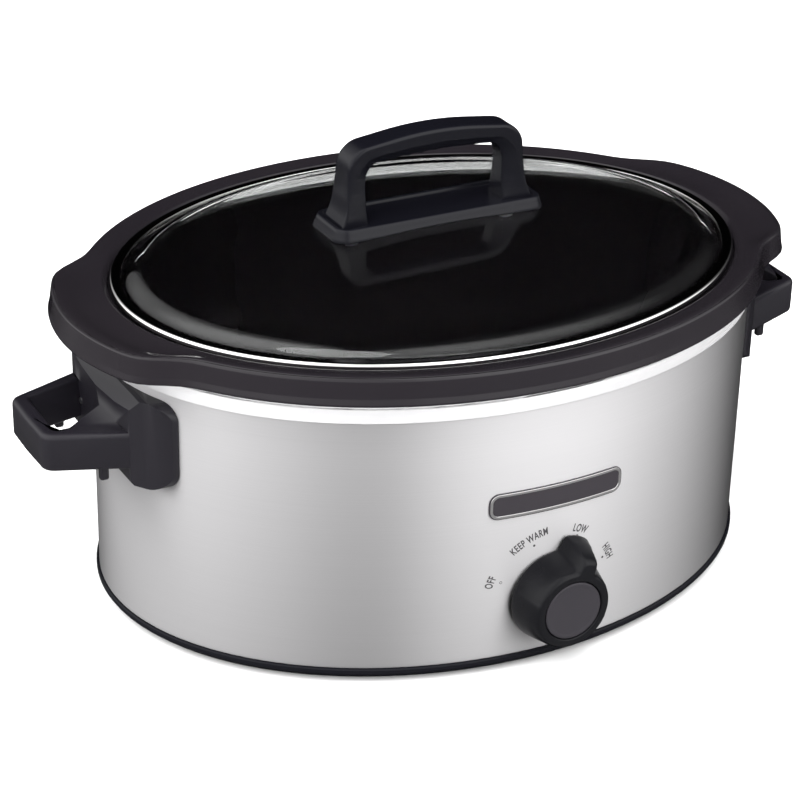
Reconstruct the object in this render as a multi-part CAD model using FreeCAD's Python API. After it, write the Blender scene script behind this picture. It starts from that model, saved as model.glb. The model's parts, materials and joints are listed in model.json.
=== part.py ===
import FreeCAD, Part
import math
import os

# Oval slow cooker. Millimetres. Origin at the centre of the oval on the rest plane,
# +Z up, the control knob on the -Y side, the long axis of the oval along X.
# Every oval shell is described by offsets from the outside of the outer wrap.

V = FreeCAD.Vector

# ---- Outer wrap and base ----
WRAP_HALF_LENGTH = 177.0
WRAP_HALF_WIDTH = 137.5
WRAP_SHEET = 0.6
FOOT_HEIGHT = 3.0
BASE_BAND_TOP = 9.0
BASE_TUCK = 1.9
BASE_BULGE = 1.5
BASE_WALL = 2.5
BASE_FLOOR = 2.0
BASE_LIP_TOP = 17.0
WRAP_TOP = 150.0
RING_BOTTOM = 143.1
RING_TOP = 154.2
RING_BULGE = 1.6

TIE_SEAT_RADIUS = 16.0
TIE_SEAT_DEPTH = 5.0
VENT_ROWS = (-96, -84, -72, 72, 84, 96)
VENT_LENGTH = 28.0
VENT_WIDTH = 4.0
FOOT_RADIUS = 8.5
FOOT_STEM = 3.0

# ---- Clearances and fasteners ----
SLIP = 0.1
TOUCH = 0.05
STUD_RADIUS = 2.5
STUD_PLATE_RADIUS = 12.0
TIE_NUT_FLATS = 8.0
TIE_NUT_HEIGHT = 3.4
SIDE_SCREW_SHANK = 1.8
SIDE_SCREW_HEAD = 3.6
SIDE_SCREW_HOLE = 2.3
STRAP_SCREW_SHANK = 1.15
LID_SCREW_SHANK = 2.1
LID_SCREW_HEAD = 4.2
LID_SCREW_SEAT = 180.6
WASHER_RADIUS = 5.6

# ---- Stoneware crock ----
SKIRT_OFFSET = 7.0
SKIRT_BOTTOM = 154.8
RIM_OFFSET = 4.6
RIM_TOP = 169.3
LEDGE_OFFSET = -9.3
LEDGE_HEIGHT = 163.0
CROCK_WALL = 7.0
CROCK_TOP_OFFSET = -11.0
CROCK_LOW_OFFSET = -25.5
CROCK_BOTTOM = 23.0
CROCK_BEND = 17.0
LUG_TIP = 195.0
LUG_TIP_RADIUS = 128.0
LUG_HALF_WIDTH = 60.0
LUG_CORNER = 14.0

# ---- Heating well ----
WELL_GAP = 3.0
WELL_SHEET = 0.8

# ---- Lid ----
LID_OFFSET = -10.2
LID_BOTTOM = 163.5
LID_RING_HEIGHT = 5.2
LID_RING_WIDTH = 5.6
GLASS = 3.6
DOME_CROWN = 190.0

# ---- Lid handle ----
PLATE_HALF_LENGTH = 60.0
PLATE_HALF_WIDTH = 18.0
PLATE_TOP = 194.0
GRIP_TOP = 236.0
GRIP_UNDERSIDE = 223.5
GRIP_HALF_LENGTH = 50.0
GRIP_DEPTH = 16.0
LEG_WIDTH = 11.0
HANDLE_SCREW_X = 44.5

# ---- Side handles ----
LOOP_REACH = 219.5
LOOP_END_HALF = 23.0
LOOP_ROOT_HALF = 36.5
LOOP_BAR = 8.5
LOOP_CORNER = 7.0
HOLE_FRONT = 19.5
HOLE_REAR = 23.0
HOLE_REAR_ROOT = 31.0
HOLE_WEB = 5.0
HOLE_CORNER = 4.0
TAB_X = 191.5
TAB_DROP = 6.0
LOOP_BOTTOM = 100.6
LOOP_TOP = 120.4
PAD_FACE = 182.5
PAD_BACK = 160.0
PAD_HALF_WIDTH = 55.0
PAD_BOTTOM = 92.5
PAD_TOP = 139.0
PAD_BEVEL = 5.5
SIDE_SCREW_Y = 24.0
SIDE_SCREW_Z = 110.0

# ---- Control ----
DIAL_HEIGHT = 39.0
KNOB_BACK = 138.1
KNOB_FACE = 157.0
KNOB_BACK_RADIUS = 24.0
KNOB_FACE_RADIUS = 19.2
POINTER_BACK = 31.5
POINTER_FACE = 24.5
POINTER_TIP_RADIUS = 3.6
POINTER_ANGLE = 22.5
KNOB_WALL = 2.6
HUB_RADIUS = 7.0
SHAFT_RADIUS = 3.0
RUNNING_FIT = 0.05
SWITCH_SIZE = 28.0
SWITCH_FRONT = 135.4
SWITCH_DEPTH = 12.0
CAM_RADIUS = 9.0
BUSHING_RADIUS = 4.7
SHAFT_HOLE = 5.1
PANEL_NUT_FLATS = 13.0
CAP_RADIUS = 15.6

# ---- Nameplate ----
BADGE_LENGTH = 74.0
BADGE_HEIGHT = 14.0
BADGE_Z = 93.7
BADGE_SHEET = 1.0

# ---- Rear cord gland ----
GLAND_HEIGHT = 27.0
GLAND_REACH = 154.0
GLAND_RADIUS = 7.0
GLAND_BORE = 3.6
CRIMP_X = 5.0
CRIMP_Y = 124.0
CRIMP_Z = 23.0

# ---- Heater ----
HEATER_BOTTOM = 64.0
HEATER_TOP = 112.0
HEATER_THICKNESS = 2.6
STRAP_SHEET = 0.7
STRAP_WIDTH = 9.0
STRAP_HEIGHTS = (HEATER_BOTTOM + 5, HEATER_TOP - 5 - STRAP_WIDTH)
STRAP_GAP = 2.5
STRAP_EAR = 6.5
SUPPLY_WIRE = 1.2
HEATER_WIRE = 1.0
FUSE_HEIGHT = 46.0
FUSE_START = 26.0
FUSE_END = 50.0
FUSE_RADIUS = 2.6
FUSE_STANDOFF = 5.0

TERMINALS = [(x, DIAL_HEIGHT + dz) for x in (-8.0, 8.0) for dz in (-9.5, 9.5)]
FEET = [(sx * 118.0, sy * 72.0) for sx in (-1, 1) for sy in (-1, 1)]


def oval_wire(offset, z):
    """Ellipse standing outside the wrap by the offset, at height z."""
    curve = Part.Ellipse(V(0, 0, z), WRAP_HALF_LENGTH + offset, WRAP_HALF_WIDTH + offset)
    return Part.Wire(curve.toShape())


def oval(profile):
    """Solid oval through (offset, height) rows, lowest first."""
    return Part.makeLoft([oval_wire(offset, z) for offset, z in profile], True, True)


def box(x0, x1, y0, y1, z0, z1):
    """Box between two corners."""
    return Part.makeBox(x1 - x0, y1 - y0, z1 - z0, V(x0, y0, z0))


def rod(radius, start, end):
    """Cylinder from start to end."""
    along = end.sub(start)
    return Part.makeCylinder(radius, along.Length, start, along)


def fuse_all(shapes):
    """One solid out of several that touch."""
    whole = shapes[0]
    for shape in shapes[1:]:
        whole = whole.fuse(shape)
    return whole.removeSplitter()


def both_ends(shape):
    """The shape at +X and its mirror image at -X."""
    return Part.makeCompound([shape, shape.mirror(V(0, 0, 0), V(1, 0, 0))])


def rounded_plate(half_x, half_y, radius, z0, z1):
    """Upright plate with round corners."""
    block = box(-half_x, half_x, -half_y, half_y, z0, z1)
    upright = [e for e in block.Edges if abs(e.Vertexes[0].Z - e.Vertexes[1].Z) > 0.5 * (z1 - z0)]
    return block.makeFillet(radius, upright)


def crock_wall_offset(z):
    """Offset of the crock's outside wall at height z."""
    low = CROCK_BOTTOM + CROCK_BEND
    share = (z - low) / (SKIRT_BOTTOM - low)
    return CROCK_LOW_OFFSET + share * (CROCK_TOP_OFFSET - CROCK_LOW_OFFSET)


def pot_profile(out, floor, top):
    """Profile of a pot's side, parallel to the crock's outside and set out from it."""
    low = CROCK_BOTTOM + CROCK_BEND
    bend = low - floor
    corner = crock_wall_offset(low) + out
    rows = []
    for step in range(6):
        angle = math.radians(90.0 * step / 6)
        rows.append((corner - bend * (1 - math.sin(angle)), floor + bend * (1 - math.cos(angle))))
    rows.append((corner, low))
    rows.append((crock_wall_offset(top) + out, top))
    return rows


def outer_wrap():
    """Brushed steel wrap: a sheet tube with holes for the shaft, the gland and the screws."""
    outside = oval([(0, BASE_BAND_TOP), (0, WRAP_TOP)])
    wrap = outside.cut(oval([(-WRAP_SHEET, BASE_BAND_TOP - 1), (-WRAP_SHEET, WRAP_TOP + 1)]))
    shaft_hole = rod(SHAFT_HOLE, V(0, -WRAP_HALF_WIDTH - 5, DIAL_HEIGHT), V(0, -100, DIAL_HEIGHT))
    cord_hole = rod(GLAND_RADIUS + SLIP, V(0, 100, GLAND_HEIGHT), V(0, WRAP_HALF_WIDTH + 5, GLAND_HEIGHT))
    wrap = wrap.cut(shaft_hole).cut(cord_hole)
    for side in (-1, 1):
        for y in (-SIDE_SCREW_Y, SIDE_SCREW_Y):
            hole = rod(SIDE_SCREW_HOLE, V(side * 150, y, SIDE_SCREW_Z), V(side * 190, y, SIDE_SCREW_Z))
            wrap = wrap.cut(hole)
    return wrap


def base_pan():
    """Moulded base: floor, outer band, inner locating lip and a raised seat for the tie nut."""
    floor_top = FOOT_HEIGHT + BASE_FLOOR
    outside = oval([(-BASE_TUCK, FOOT_HEIGHT), (BASE_BULGE - 0.9, FOOT_HEIGHT + 2.2),
                    (BASE_BULGE, FOOT_HEIGHT + 3.6), (BASE_BULGE, BASE_BAND_TOP - 0.6),
                    (BASE_BULGE - 0.5, BASE_BAND_TOP - 0.1)])
    inside = oval([(-BASE_WALL - 0.4, floor_top), (-BASE_WALL - 0.4, BASE_BAND_TOP + 1)])
    lip = oval([(-WRAP_SHEET - 0.2, floor_top), (-WRAP_SHEET - 0.2, BASE_LIP_TOP)])
    lip = lip.cut(oval([(-BASE_WALL - 0.4, floor_top - 1), (-BASE_WALL - 0.4, BASE_LIP_TOP + 1)]))
    pan = outside.cut(inside).fuse(lip)
    start = V(0, 0, FOOT_HEIGHT)
    seat = Part.makeCylinder(TIE_SEAT_RADIUS, TIE_SEAT_DEPTH + BASE_FLOOR, start)
    seat = seat.cut(Part.makeCylinder(TIE_SEAT_RADIUS - BASE_WALL, TIE_SEAT_DEPTH, start))
    pan = pan.cut(Part.makeCylinder(TIE_SEAT_RADIUS - 1, BASE_FLOOR, start)).fuse(seat)
    pan = pan.cut(Part.makeCylinder(STUD_RADIUS + 2 * SLIP, 20, V(0, 0, 0)))
    for x, y in FEET:
        pan = pan.cut(Part.makeCylinder(FOOT_STEM + SLIP, 10, V(x, y, 0)))
    for x in VENT_ROWS:
        for y in (-22, 22):
            pan = pan.cut(box(x - VENT_WIDTH / 2, x + VENT_WIDTH / 2, y - VENT_LENGTH / 2, y + VENT_LENGTH / 2,
                              0, floor_top + 1))
    return pan.removeSplitter()


def feet():
    """Four push-in rubber feet."""
    pads = []
    for x, y in FEET:
        pad = Part.makeCone(FOOT_RADIUS - 1.5, FOOT_RADIUS, FOOT_HEIGHT - TOUCH, V(x, y, 0))
        stem = Part.makeCylinder(FOOT_STEM, FOOT_HEIGHT + BASE_FLOOR, V(x, y, 0))
        barb = Part.makeCone(FOOT_STEM + 1, FOOT_STEM - 0.4, 2.0, V(x, y, FOOT_HEIGHT + BASE_FLOOR + TOUCH))
        neck = Part.makeCylinder(FOOT_STEM - 0.4, 1.0, V(x, y, FOOT_HEIGHT + BASE_FLOOR - 0.5))
        pads.append(fuse_all([pad, stem, neck, barb]))
    return Part.makeCompound(pads)


def heating_well():
    """Sheet pan that holds the crock, with a rolled rim that caps the top of the wrap."""
    inner = pot_profile(WELL_GAP, CROCK_BOTTOM - WELL_GAP, RING_TOP)
    outer = pot_profile(WELL_GAP + WELL_SHEET, CROCK_BOTTOM - WELL_GAP - WELL_SHEET, RING_TOP)
    rim_outside = oval([(RING_BULGE, RING_BOTTOM), (RING_BULGE, RING_TOP - 3), (RING_BULGE - 1, RING_TOP - 0.9),
                        (RING_BULGE - 3, RING_TOP)])
    groove = oval([(RING_BULGE - WELL_SHEET, RING_BOTTOM - 1), (RING_BULGE - WELL_SHEET, RING_TOP - 3.4),
                   (RING_BULGE - 3.2, RING_TOP - WELL_SHEET)])
    pan = oval(outer)
    rim = rim_outside.cut(groove.cut(pan))
    well = pan.fuse(rim).cut(oval(inner))
    return well.removeSplitter()


def tie_stud():
    """Threaded stud welded under the well, which draws the base up to it."""
    top = CROCK_BOTTOM - WELL_GAP - WELL_SHEET - TOUCH
    bottom = FOOT_HEIGHT + 1
    plate = Part.makeCylinder(STUD_PLATE_RADIUS, 1.5, V(0, 0, top - 1.5))
    stud = Part.makeCylinder(STUD_RADIUS, top - bottom, V(0, 0, bottom))
    return plate.fuse(stud).removeSplitter()


def hexagon(across_flats, height, centre):
    """Hexagonal prism standing on its centre point."""
    radius = across_flats / math.sqrt(3)
    corners = [V(radius * math.cos(math.radians(60 * k)), radius * math.sin(math.radians(60 * k)), 0)
               for k in range(7)]
    prism = Part.Face(Part.makePolygon(corners)).extrude(V(0, 0, height))
    prism.translate(centre)
    return prism


def tie_nut():
    """Hexagon nut under the raised seat."""
    seat = FOOT_HEIGHT + TIE_SEAT_DEPTH - 0.2
    nut = hexagon(TIE_NUT_FLATS, TIE_NUT_HEIGHT, V(0, 0, seat - TIE_NUT_HEIGHT))
    return nut.cut(Part.makeCylinder(STUD_RADIUS + TOUCH, 10, V(0, 0, 0)))


def heater_band():
    """Mica band with the heating wire, wrapped round the lower half of the well."""
    near = WELL_GAP + WELL_SHEET + 0.15
    far = near + HEATER_THICKNESS
    rows = [(crock_wall_offset(z) + far, z) for z in (HEATER_BOTTOM, HEATER_TOP)]
    hole = [(crock_wall_offset(z) + near, z) for z in (HEATER_BOTTOM - 1, HEATER_TOP + 1)]
    return oval(rows).cut(oval(hole))


def band_straps():
    """Two spring-steel straps that hold the heater band to the well, joined by screws at the rear."""
    straps = []
    near = WELL_GAP + WELL_SHEET + HEATER_THICKNESS + 0.4
    for z in STRAP_HEIGHTS:
        rows = [(crock_wall_offset(h) + near + STRAP_SHEET, h) for h in (z, z + STRAP_WIDTH)]
        hole = [(crock_wall_offset(h) + near, h) for h in (z - 1, z + STRAP_WIDTH + 1)]
        strap = oval(rows).cut(oval(hole))
        root = WRAP_HALF_WIDTH + crock_wall_offset(z + STRAP_WIDTH) + near + 0.1
        strap = strap.cut(box(-STRAP_GAP, STRAP_GAP, root - 8, root + 8, z - 1, z + STRAP_WIDTH + 1))
        middle = z + STRAP_WIDTH / 2
        screw_y = root + 0.6 * STRAP_EAR
        for side in (-1, 1):
            x = side * STRAP_GAP
            ear = box(min(x, x + side), max(x, x + side), root, root + STRAP_EAR, z, z + STRAP_WIDTH)
            hole = rod(STRAP_SCREW_SHANK + SLIP, V(-9, screw_y, middle), V(9, screw_y, middle))
            strap = strap.fuse(ear.cut(hole))
        straps.append(strap.removeSplitter())
    return Part.makeCompound(straps)


def strap_screws():
    """Clamp screw and nut of each strap, one solid each."""
    screws = []
    near = WELL_GAP + WELL_SHEET + HEATER_THICKNESS + 0.4
    for z in STRAP_HEIGHTS:
        y = WRAP_HALF_WIDTH + crock_wall_offset(z + STRAP_WIDTH) + near + 0.1 + 0.6 * STRAP_EAR
        middle = z + STRAP_WIDTH / 2
        inner, outer = STRAP_GAP + 1 + SLIP, STRAP_GAP + 3
        shank = rod(STRAP_SCREW_SHANK, V(-outer - 0.6, y, middle), V(outer + 0.6, y, middle))
        head = rod(2 * STRAP_SCREW_SHANK, V(-outer, y, middle), V(-inner, y, middle))
        nut = rod(2 * STRAP_SCREW_SHANK + 0.2, V(inner, y, middle), V(outer, y, middle))
        screws.append(fuse_all([shank, head, nut]))
    return Part.makeCompound(screws)


def upright_prism(corners, z0, z1):
    """Upright prism on a closed outline in plan."""
    outline = [V(x, y, 0) for x, y in corners + corners[:1]]
    prism = Part.Face(Part.makePolygon(outline)).extrude(V(0, 0, z1 - z0))
    prism.translate(V(0, 0, z0))
    return prism


def round_uprights(prism, radius, beyond):
    """The prism with its upright edges rounded where they lie further out than a given X."""
    upright = [e for e in prism.Edges
               if abs(e.Vertexes[0].Z - e.Vertexes[1].Z) > 1 and e.Vertexes[0].X > beyond]
    return prism.makeFillet(radius, upright)


def loop_block():
    """Outside of the side handle's loop at the +X end."""
    root = PAD_FACE - 4
    flare = (LOOP_ROOT_HALF - LOOP_END_HALF) / (LOOP_REACH - PAD_FACE)
    root_half = LOOP_END_HALF + flare * (LOOP_REACH - root)
    corners = [(root, -root_half), (LOOP_REACH, -LOOP_END_HALF), (LOOP_REACH, LOOP_END_HALF),
               (root, root_half)]
    return round_uprights(upright_prism(corners, LOOP_BOTTOM, LOOP_TOP), LOOP_CORNER, PAD_FACE + 5)


def finger_hole():
    """Finger hole through the loop, with a web across its front root corner."""
    root = PAD_FACE - 4
    end = LOOP_REACH - LOOP_BAR
    corners = [(end, -HOLE_FRONT), (end, HOLE_REAR), (root, HOLE_REAR_ROOT), (root, HOLE_WEB),
               (end - 7, -HOLE_FRONT)]
    hole = upright_prism(corners, LOOP_BOTTOM - 1, LOOP_TOP + 1)
    return round_uprights(hole, HOLE_CORNER, PAD_FACE + 5)


def side_pad():
    """Bevelled mounting pad that hugs the wall at the +X end."""
    end = [V(PAD_BACK, PAD_HALF_WIDTH, 0), V(PAD_FACE - 17, PAD_HALF_WIDTH, 0),
           V(PAD_FACE - 10, PAD_HALF_WIDTH - 4, 0), V(PAD_FACE - 5, PAD_HALF_WIDTH - 11, 0),
           V(PAD_FACE, PAD_HALF_WIDTH - 17, 0)]
    outline = end + [V(p.x, -p.y, 0) for p in reversed(end)] + [end[0]]
    pad = Part.Face(Part.makePolygon(outline)).extrude(V(0, 0, PAD_TOP - PAD_BOTTOM))
    pad.translate(V(0, 0, PAD_BOTTOM))
    side = Part.Face(Part.makePolygon([
        V(PAD_BACK - 5, 0, PAD_BOTTOM), V(PAD_FACE - 2, 0, PAD_BOTTOM), V(PAD_FACE + 1, 0, PAD_BOTTOM + 4),
        V(PAD_FACE + 1, 0, PAD_TOP - 10), V(PAD_FACE - PAD_BEVEL, 0, PAD_TOP),
        V(PAD_BACK - 5, 0, PAD_TOP), V(PAD_BACK - 5, 0, PAD_BOTTOM)])).extrude(V(0, 140, 0))
    side.translate(V(0, -70, 0))
    corners = box(PAD_BACK - 5, PAD_FACE + 5, -PAD_HALF_WIDTH, PAD_HALF_WIDTH, PAD_BOTTOM, PAD_TOP)
    along_x = [e for e in corners.Edges if abs(e.Vertexes[0].X - e.Vertexes[1].X) > 1]
    return pad.common(side).common(corners.makeFillet(9.0, along_x))


def side_handle():
    """Moulded side handle at the +X end: pad, loop with a finger gap, two tabs, two screw holes."""
    pad = side_pad()
    handle = pad.fuse(loop_block().cut(finger_hole().cut(pad)))
    for side in (-1, 1):
        y = side * (LOOP_END_HALF + 7.5)
        tab = box(TAB_X - 2.5, TAB_X + 2.5, y - 2, y + 2, LOOP_BOTTOM - TAB_DROP, LOOP_BOTTOM + 2)
        handle = handle.fuse(tab)
    wall = oval([(0.15, PAD_BOTTOM - 5), (0.15, PAD_TOP + 5)])
    handle = handle.cut(wall)
    for y in (-SIDE_SCREW_Y, SIDE_SCREW_Y):
        hole = rod(SIDE_SCREW_SHANK + SLIP, V(PAD_BACK, y, SIDE_SCREW_Z), V(PAD_FACE - 0.3, y, SIDE_SCREW_Z))
        handle = handle.cut(hole)
    return handle.removeSplitter()


def backing_plates():
    """Steel plates inside the wrap, one behind each side handle."""
    shell = oval([(-WRAP_SHEET - 0.1, 98), (-WRAP_SHEET - 0.1, 122)])
    shell = shell.cut(oval([(-WRAP_SHEET - 1.3, 97), (-WRAP_SHEET - 1.3, 123)]))
    plate = shell.common(box(150, 190, -34, 34, 98, 122))
    for y in (-SIDE_SCREW_Y, SIDE_SCREW_Y):
        plate = plate.cut(rod(SIDE_SCREW_HOLE, V(150, y, SIDE_SCREW_Z), V(190, y, SIDE_SCREW_Z)))
    return both_ends(plate)


def side_handle_screws():
    """Four pan-head screws, driven outwards from inside the wrap."""
    screws = []
    for y in (-SIDE_SCREW_Y, SIDE_SCREW_Y):
        wall = WRAP_HALF_LENGTH * math.sqrt(1 - (y / WRAP_HALF_WIDTH) ** 2)
        seat = wall - 4.1
        shank = rod(SIDE_SCREW_SHANK, V(seat - 1, y, SIDE_SCREW_Z), V(PAD_FACE - 0.5, y, SIDE_SCREW_Z))
        head = rod(SIDE_SCREW_HEAD, V(seat - 2.2, y, SIDE_SCREW_Z), V(seat, y, SIDE_SCREW_Z))
        screws.append(shank.fuse(head).removeSplitter())
    return both_ends(Part.makeCompound(screws))


def nameplate():
    """Blank badge that follows the curve of the front wall."""
    block = box(-BADGE_LENGTH / 2, BADGE_LENGTH / 2, -150, -120,
                BADGE_Z - BADGE_HEIGHT / 2, BADGE_Z + BADGE_HEIGHT / 2)
    along_y = [e for e in block.Edges if abs(e.Vertexes[0].Y - e.Vertexes[1].Y) > 1]
    block = block.makeFillet(5.0, along_y)
    shell = oval([(BADGE_SHEET, BADGE_Z - 10), (BADGE_SHEET, BADGE_Z + 10)])
    shell = shell.cut(oval([(0.1, BADGE_Z - 11), (0.1, BADGE_Z + 11)]))
    return shell.common(block)


def cord_gland():
    """Rear gland for the supply cord: a nose outside, a flange each side of the sheet, a through bore."""
    wall = WRAP_HALF_WIDTH
    nose = rod(GLAND_RADIUS, V(0, wall - 8, GLAND_HEIGHT), V(0, GLAND_REACH, GLAND_HEIGHT))
    outer_flange = rod(10.5, V(0, wall + 0.1, GLAND_HEIGHT), V(0, wall + 3.0, GLAND_HEIGHT))
    inner_flange = rod(9.5, V(0, wall - 8, GLAND_HEIGHT), V(0, wall - 3.2, GLAND_HEIGHT))
    gland = fuse_all([nose, outer_flange, inner_flange])
    return gland.cut(rod(GLAND_BORE, V(0, wall - 20, GLAND_HEIGHT), V(0, GLAND_REACH + 5, GLAND_HEIGHT)))


def front(radius, y0, y1):
    """Cylinder on the dial's axis, from y0 to y1 forward of the oval's centre."""
    return rod(radius, V(0, -y0, DIAL_HEIGHT), V(0, -y1, DIAL_HEIGHT))


def teardrop(radius, reach, y):
    """Outline of the knob at a distance y forward: a circle and a pointer that points up."""
    tip = reach - POINTER_TIP_RADIUS
    lean = math.asin((radius - POINTER_TIP_RADIUS) / tip)
    across, up = math.cos(lean), math.sin(lean)
    right_low = V(radius * across, -y, radius * up)
    right_high = V(POINTER_TIP_RADIUS * across, -y, tip + POINTER_TIP_RADIUS * up)
    left_low = V(-radius * across, -y, radius * up)
    left_high = V(-POINTER_TIP_RADIUS * across, -y, tip + POINTER_TIP_RADIUS * up)
    edges = [Part.LineSegment(right_low, right_high).toShape(),
             Part.Arc(right_high, V(0, -y, reach), left_high).toShape(),
             Part.LineSegment(left_high, left_low).toShape(),
             Part.Arc(left_low, V(0, -y, -radius), right_low).toShape()]
    return Part.Wire(edges)


def control_knob():
    """Hollow moulded knob with a pointer, a hub for the shaft and a recess for its cap."""
    back = teardrop(KNOB_BACK_RADIUS, POINTER_BACK, KNOB_BACK)
    face = teardrop(KNOB_FACE_RADIUS, POINTER_FACE, KNOB_FACE)
    knob = Part.makeLoft([back, face], True, True)
    knob.translate(V(0, 0, DIAL_HEIGHT))
    knob.rotate(V(0, 0, DIAL_HEIGHT), V(0, 1, 0), POINTER_ANGLE)
    depth = KNOB_FACE - KNOB_BACK - 4
    hollow = Part.makeCone(KNOB_BACK_RADIUS - KNOB_WALL, KNOB_FACE_RADIUS - KNOB_WALL, depth,
                           V(0, -KNOB_BACK, DIAL_HEIGHT), V(0, -1, 0))
    knob = knob.cut(hollow).fuse(front(HUB_RADIUS, KNOB_BACK + 2.9, KNOB_FACE - 3))
    knob = knob.cut(front(SHAFT_RADIUS + RUNNING_FIT, KNOB_BACK, KNOB_FACE - 5))
    return knob.cut(front(CAP_RADIUS + 0.1, KNOB_FACE - 1.2, KNOB_FACE + 1)).removeSplitter()


def knob_cap():
    """Disc set into the knob's face."""
    return front(CAP_RADIUS, KNOB_FACE - 1.1, KNOB_FACE - 0.2)


def knob_clip():
    """Spring ring round the knob's hub, open at one side."""
    ring = front(HUB_RADIUS + 0.75, KNOB_BACK + 5, KNOB_BACK + 9).cut(
        front(HUB_RADIUS + 0.05, KNOB_BACK + 4, KNOB_BACK + 10))
    return ring.cut(box(-2, 2, -KNOB_FACE, -KNOB_BACK, DIAL_HEIGHT - 12, DIAL_HEIGHT - 5))


def switch_shaft():
    """Shaft of the rotary switch with its contact cam."""
    shaft = front(SHAFT_RADIUS, SWITCH_FRONT - 10.0, KNOB_FACE - 5.1)
    cam = front(CAM_RADIUS - 0.4, SWITCH_FRONT - 9.5, SWITCH_FRONT - 4.0)
    lobe = box(-2.5, 2.5, -SWITCH_FRONT + 4.0, -SWITCH_FRONT + 9.5, DIAL_HEIGHT + 5, DIAL_HEIGHT + 10.2)
    return fuse_all([shaft, cam, lobe])


def switch_body():
    """Moulded switch case with a bushing that stands out through the wrap."""
    half = SWITCH_SIZE / 2
    case = box(-half, half, -SWITCH_FRONT, -SWITCH_FRONT + SWITCH_DEPTH, DIAL_HEIGHT - half,
               DIAL_HEIGHT + half)
    bushing = front(BUSHING_RADIUS, SWITCH_FRONT - 1, KNOB_BACK + 2.4)
    case = case.fuse(bushing)
    case = case.cut(front(CAM_RADIUS + 2.4, SWITCH_FRONT - SWITCH_DEPTH - 1, SWITCH_FRONT - 3.5))
    return case.cut(front(SHAFT_RADIUS + RUNNING_FIT, SWITCH_FRONT - 8, KNOB_FACE)).removeSplitter()


def switch_cover():
    """Rear cover of the switch, with slots for its terminals."""
    half = SWITCH_SIZE / 2
    rear = -SWITCH_FRONT + SWITCH_DEPTH + 0.05
    cover = box(-half, half, rear, rear + 1.5, DIAL_HEIGHT - half, DIAL_HEIGHT + half)
    for x, z in TERMINALS:
        cover = cover.cut(box(x - 2.5, x + 2.5, rear - 1, rear + 3, z - 0.5, z + 0.5))
    return cover


def switch_terminals():
    """Four brass blade terminals."""
    rear = -SWITCH_FRONT + SWITCH_DEPTH
    blades = [box(x - 2.4, x + 2.4, rear + 0.1, rear + 5.5, z - 0.4, z + 0.4) for x, z in TERMINALS]
    return Part.makeCompound(blades)


def switch_nut():
    """Thin nut that holds the switch to the wrap."""
    nut = hexagon(PANEL_NUT_FLATS, 2.0, V(0, 0, 0))
    nut.rotate(V(0, 0, 0), V(1, 0, 0), 90)
    nut.translate(V(0, -WRAP_HALF_WIDTH - 0.1, DIAL_HEIGHT))
    return nut.cut(front(BUSHING_RADIUS + TOUCH, 100, 170))


def wire_run(points, radius, bend):
    """Round wire along straight runs joined by tangent arcs."""
    edges = []
    start = points[0]
    for before, corner, after in zip(points, points[1:], points[2:]):
        back = before.sub(corner).normalize()
        ahead = after.sub(corner).normalize()
        half_turn = (math.pi - back.getAngle(ahead)) / 2
        reach = bend * math.tan(half_turn)
        bisector = back.add(ahead).normalize()
        entry = corner.add(V(back).multiply(reach))
        leave = corner.add(V(ahead).multiply(reach))
        middle = corner.add(bisector.multiply(bend / math.cos(half_turn) - bend))
        edges.append(Part.LineSegment(start, entry).toShape())
        edges.append(Part.Arc(entry, middle, leave).toShape())
        start = leave
    edges.append(Part.LineSegment(start, points[-1]).toShape())
    ring = Part.Wire(Part.Circle(points[0], points[1].sub(points[0]), radius).toShape())
    return Part.Wire(edges).makePipeShell([ring], True, False)


def supply_wires():
    """Two wires from the crimps at the gland to the lower terminals of the switch, under the well."""
    wires = []
    tail = -SWITCH_FRONT + SWITCH_DEPTH + 5.6
    low = DIAL_HEIGHT - 9.5
    for side in (-1, 1):
        route = [V(side * CRIMP_X, CRIMP_Y - 5, CRIMP_Z), V(side * CRIMP_X, CRIMP_Y - 9, CRIMP_Z),
                 V(side * 20, 98, 11), V(side * 24, -98, 11), V(side * 8, tail + 3.0, low),
                 V(side * 8, tail, low)]
        wires.append(wire_run(route, SUPPLY_WIRE, 3.5))
    return Part.makeCompound(wires)


def wire_crimps():
    """Two closed crimp caps that would join the supply cord's conductors to the wires."""
    caps = []
    for side in (-1, 1):
        x = side * CRIMP_X
        cap = rod(SUPPLY_WIRE + 1.6, V(x, CRIMP_Y - 7, CRIMP_Z), V(x, CRIMP_Y + 3, CRIMP_Z))
        socket = rod(SUPPLY_WIRE + TOUCH, V(x, CRIMP_Y - 8, CRIMP_Z), V(x, CRIMP_Y - 4.9, CRIMP_Z))
        caps.append(cap.cut(socket))
    return Part.makeCompound(caps)


def heater_leads():
    """Two wires from the upper terminals of the switch up to the heater band."""
    wires = []
    blade = -SWITCH_FRONT + SWITCH_DEPTH + 3.0
    high = DIAL_HEIGHT + 10.3
    for side in (-1, 1):
        route = [V(side * 8, blade, high), V(side * 9, blade - 0.4, high + 6),
                 V(side * 14, blade - 1.0, HEATER_BOTTOM - 0.9)]
        wires.append(wire_run(route, HEATER_WIRE, 4.0))
    return Part.makeCompound(wires)


def fuse_axis(x):
    """Point on the fuse's axis."""
    well = WRAP_HALF_WIDTH + crock_wall_offset(FUSE_HEIGHT) + WELL_GAP + WELL_SHEET
    return V(x, well + FUSE_STANDOFF, FUSE_HEIGHT)


def thermal_fuse():
    """Over-temperature fuse in its sleeve, beside the well at the rear."""
    return rod(FUSE_RADIUS, fuse_axis(FUSE_START), fuse_axis(FUSE_END))


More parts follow.
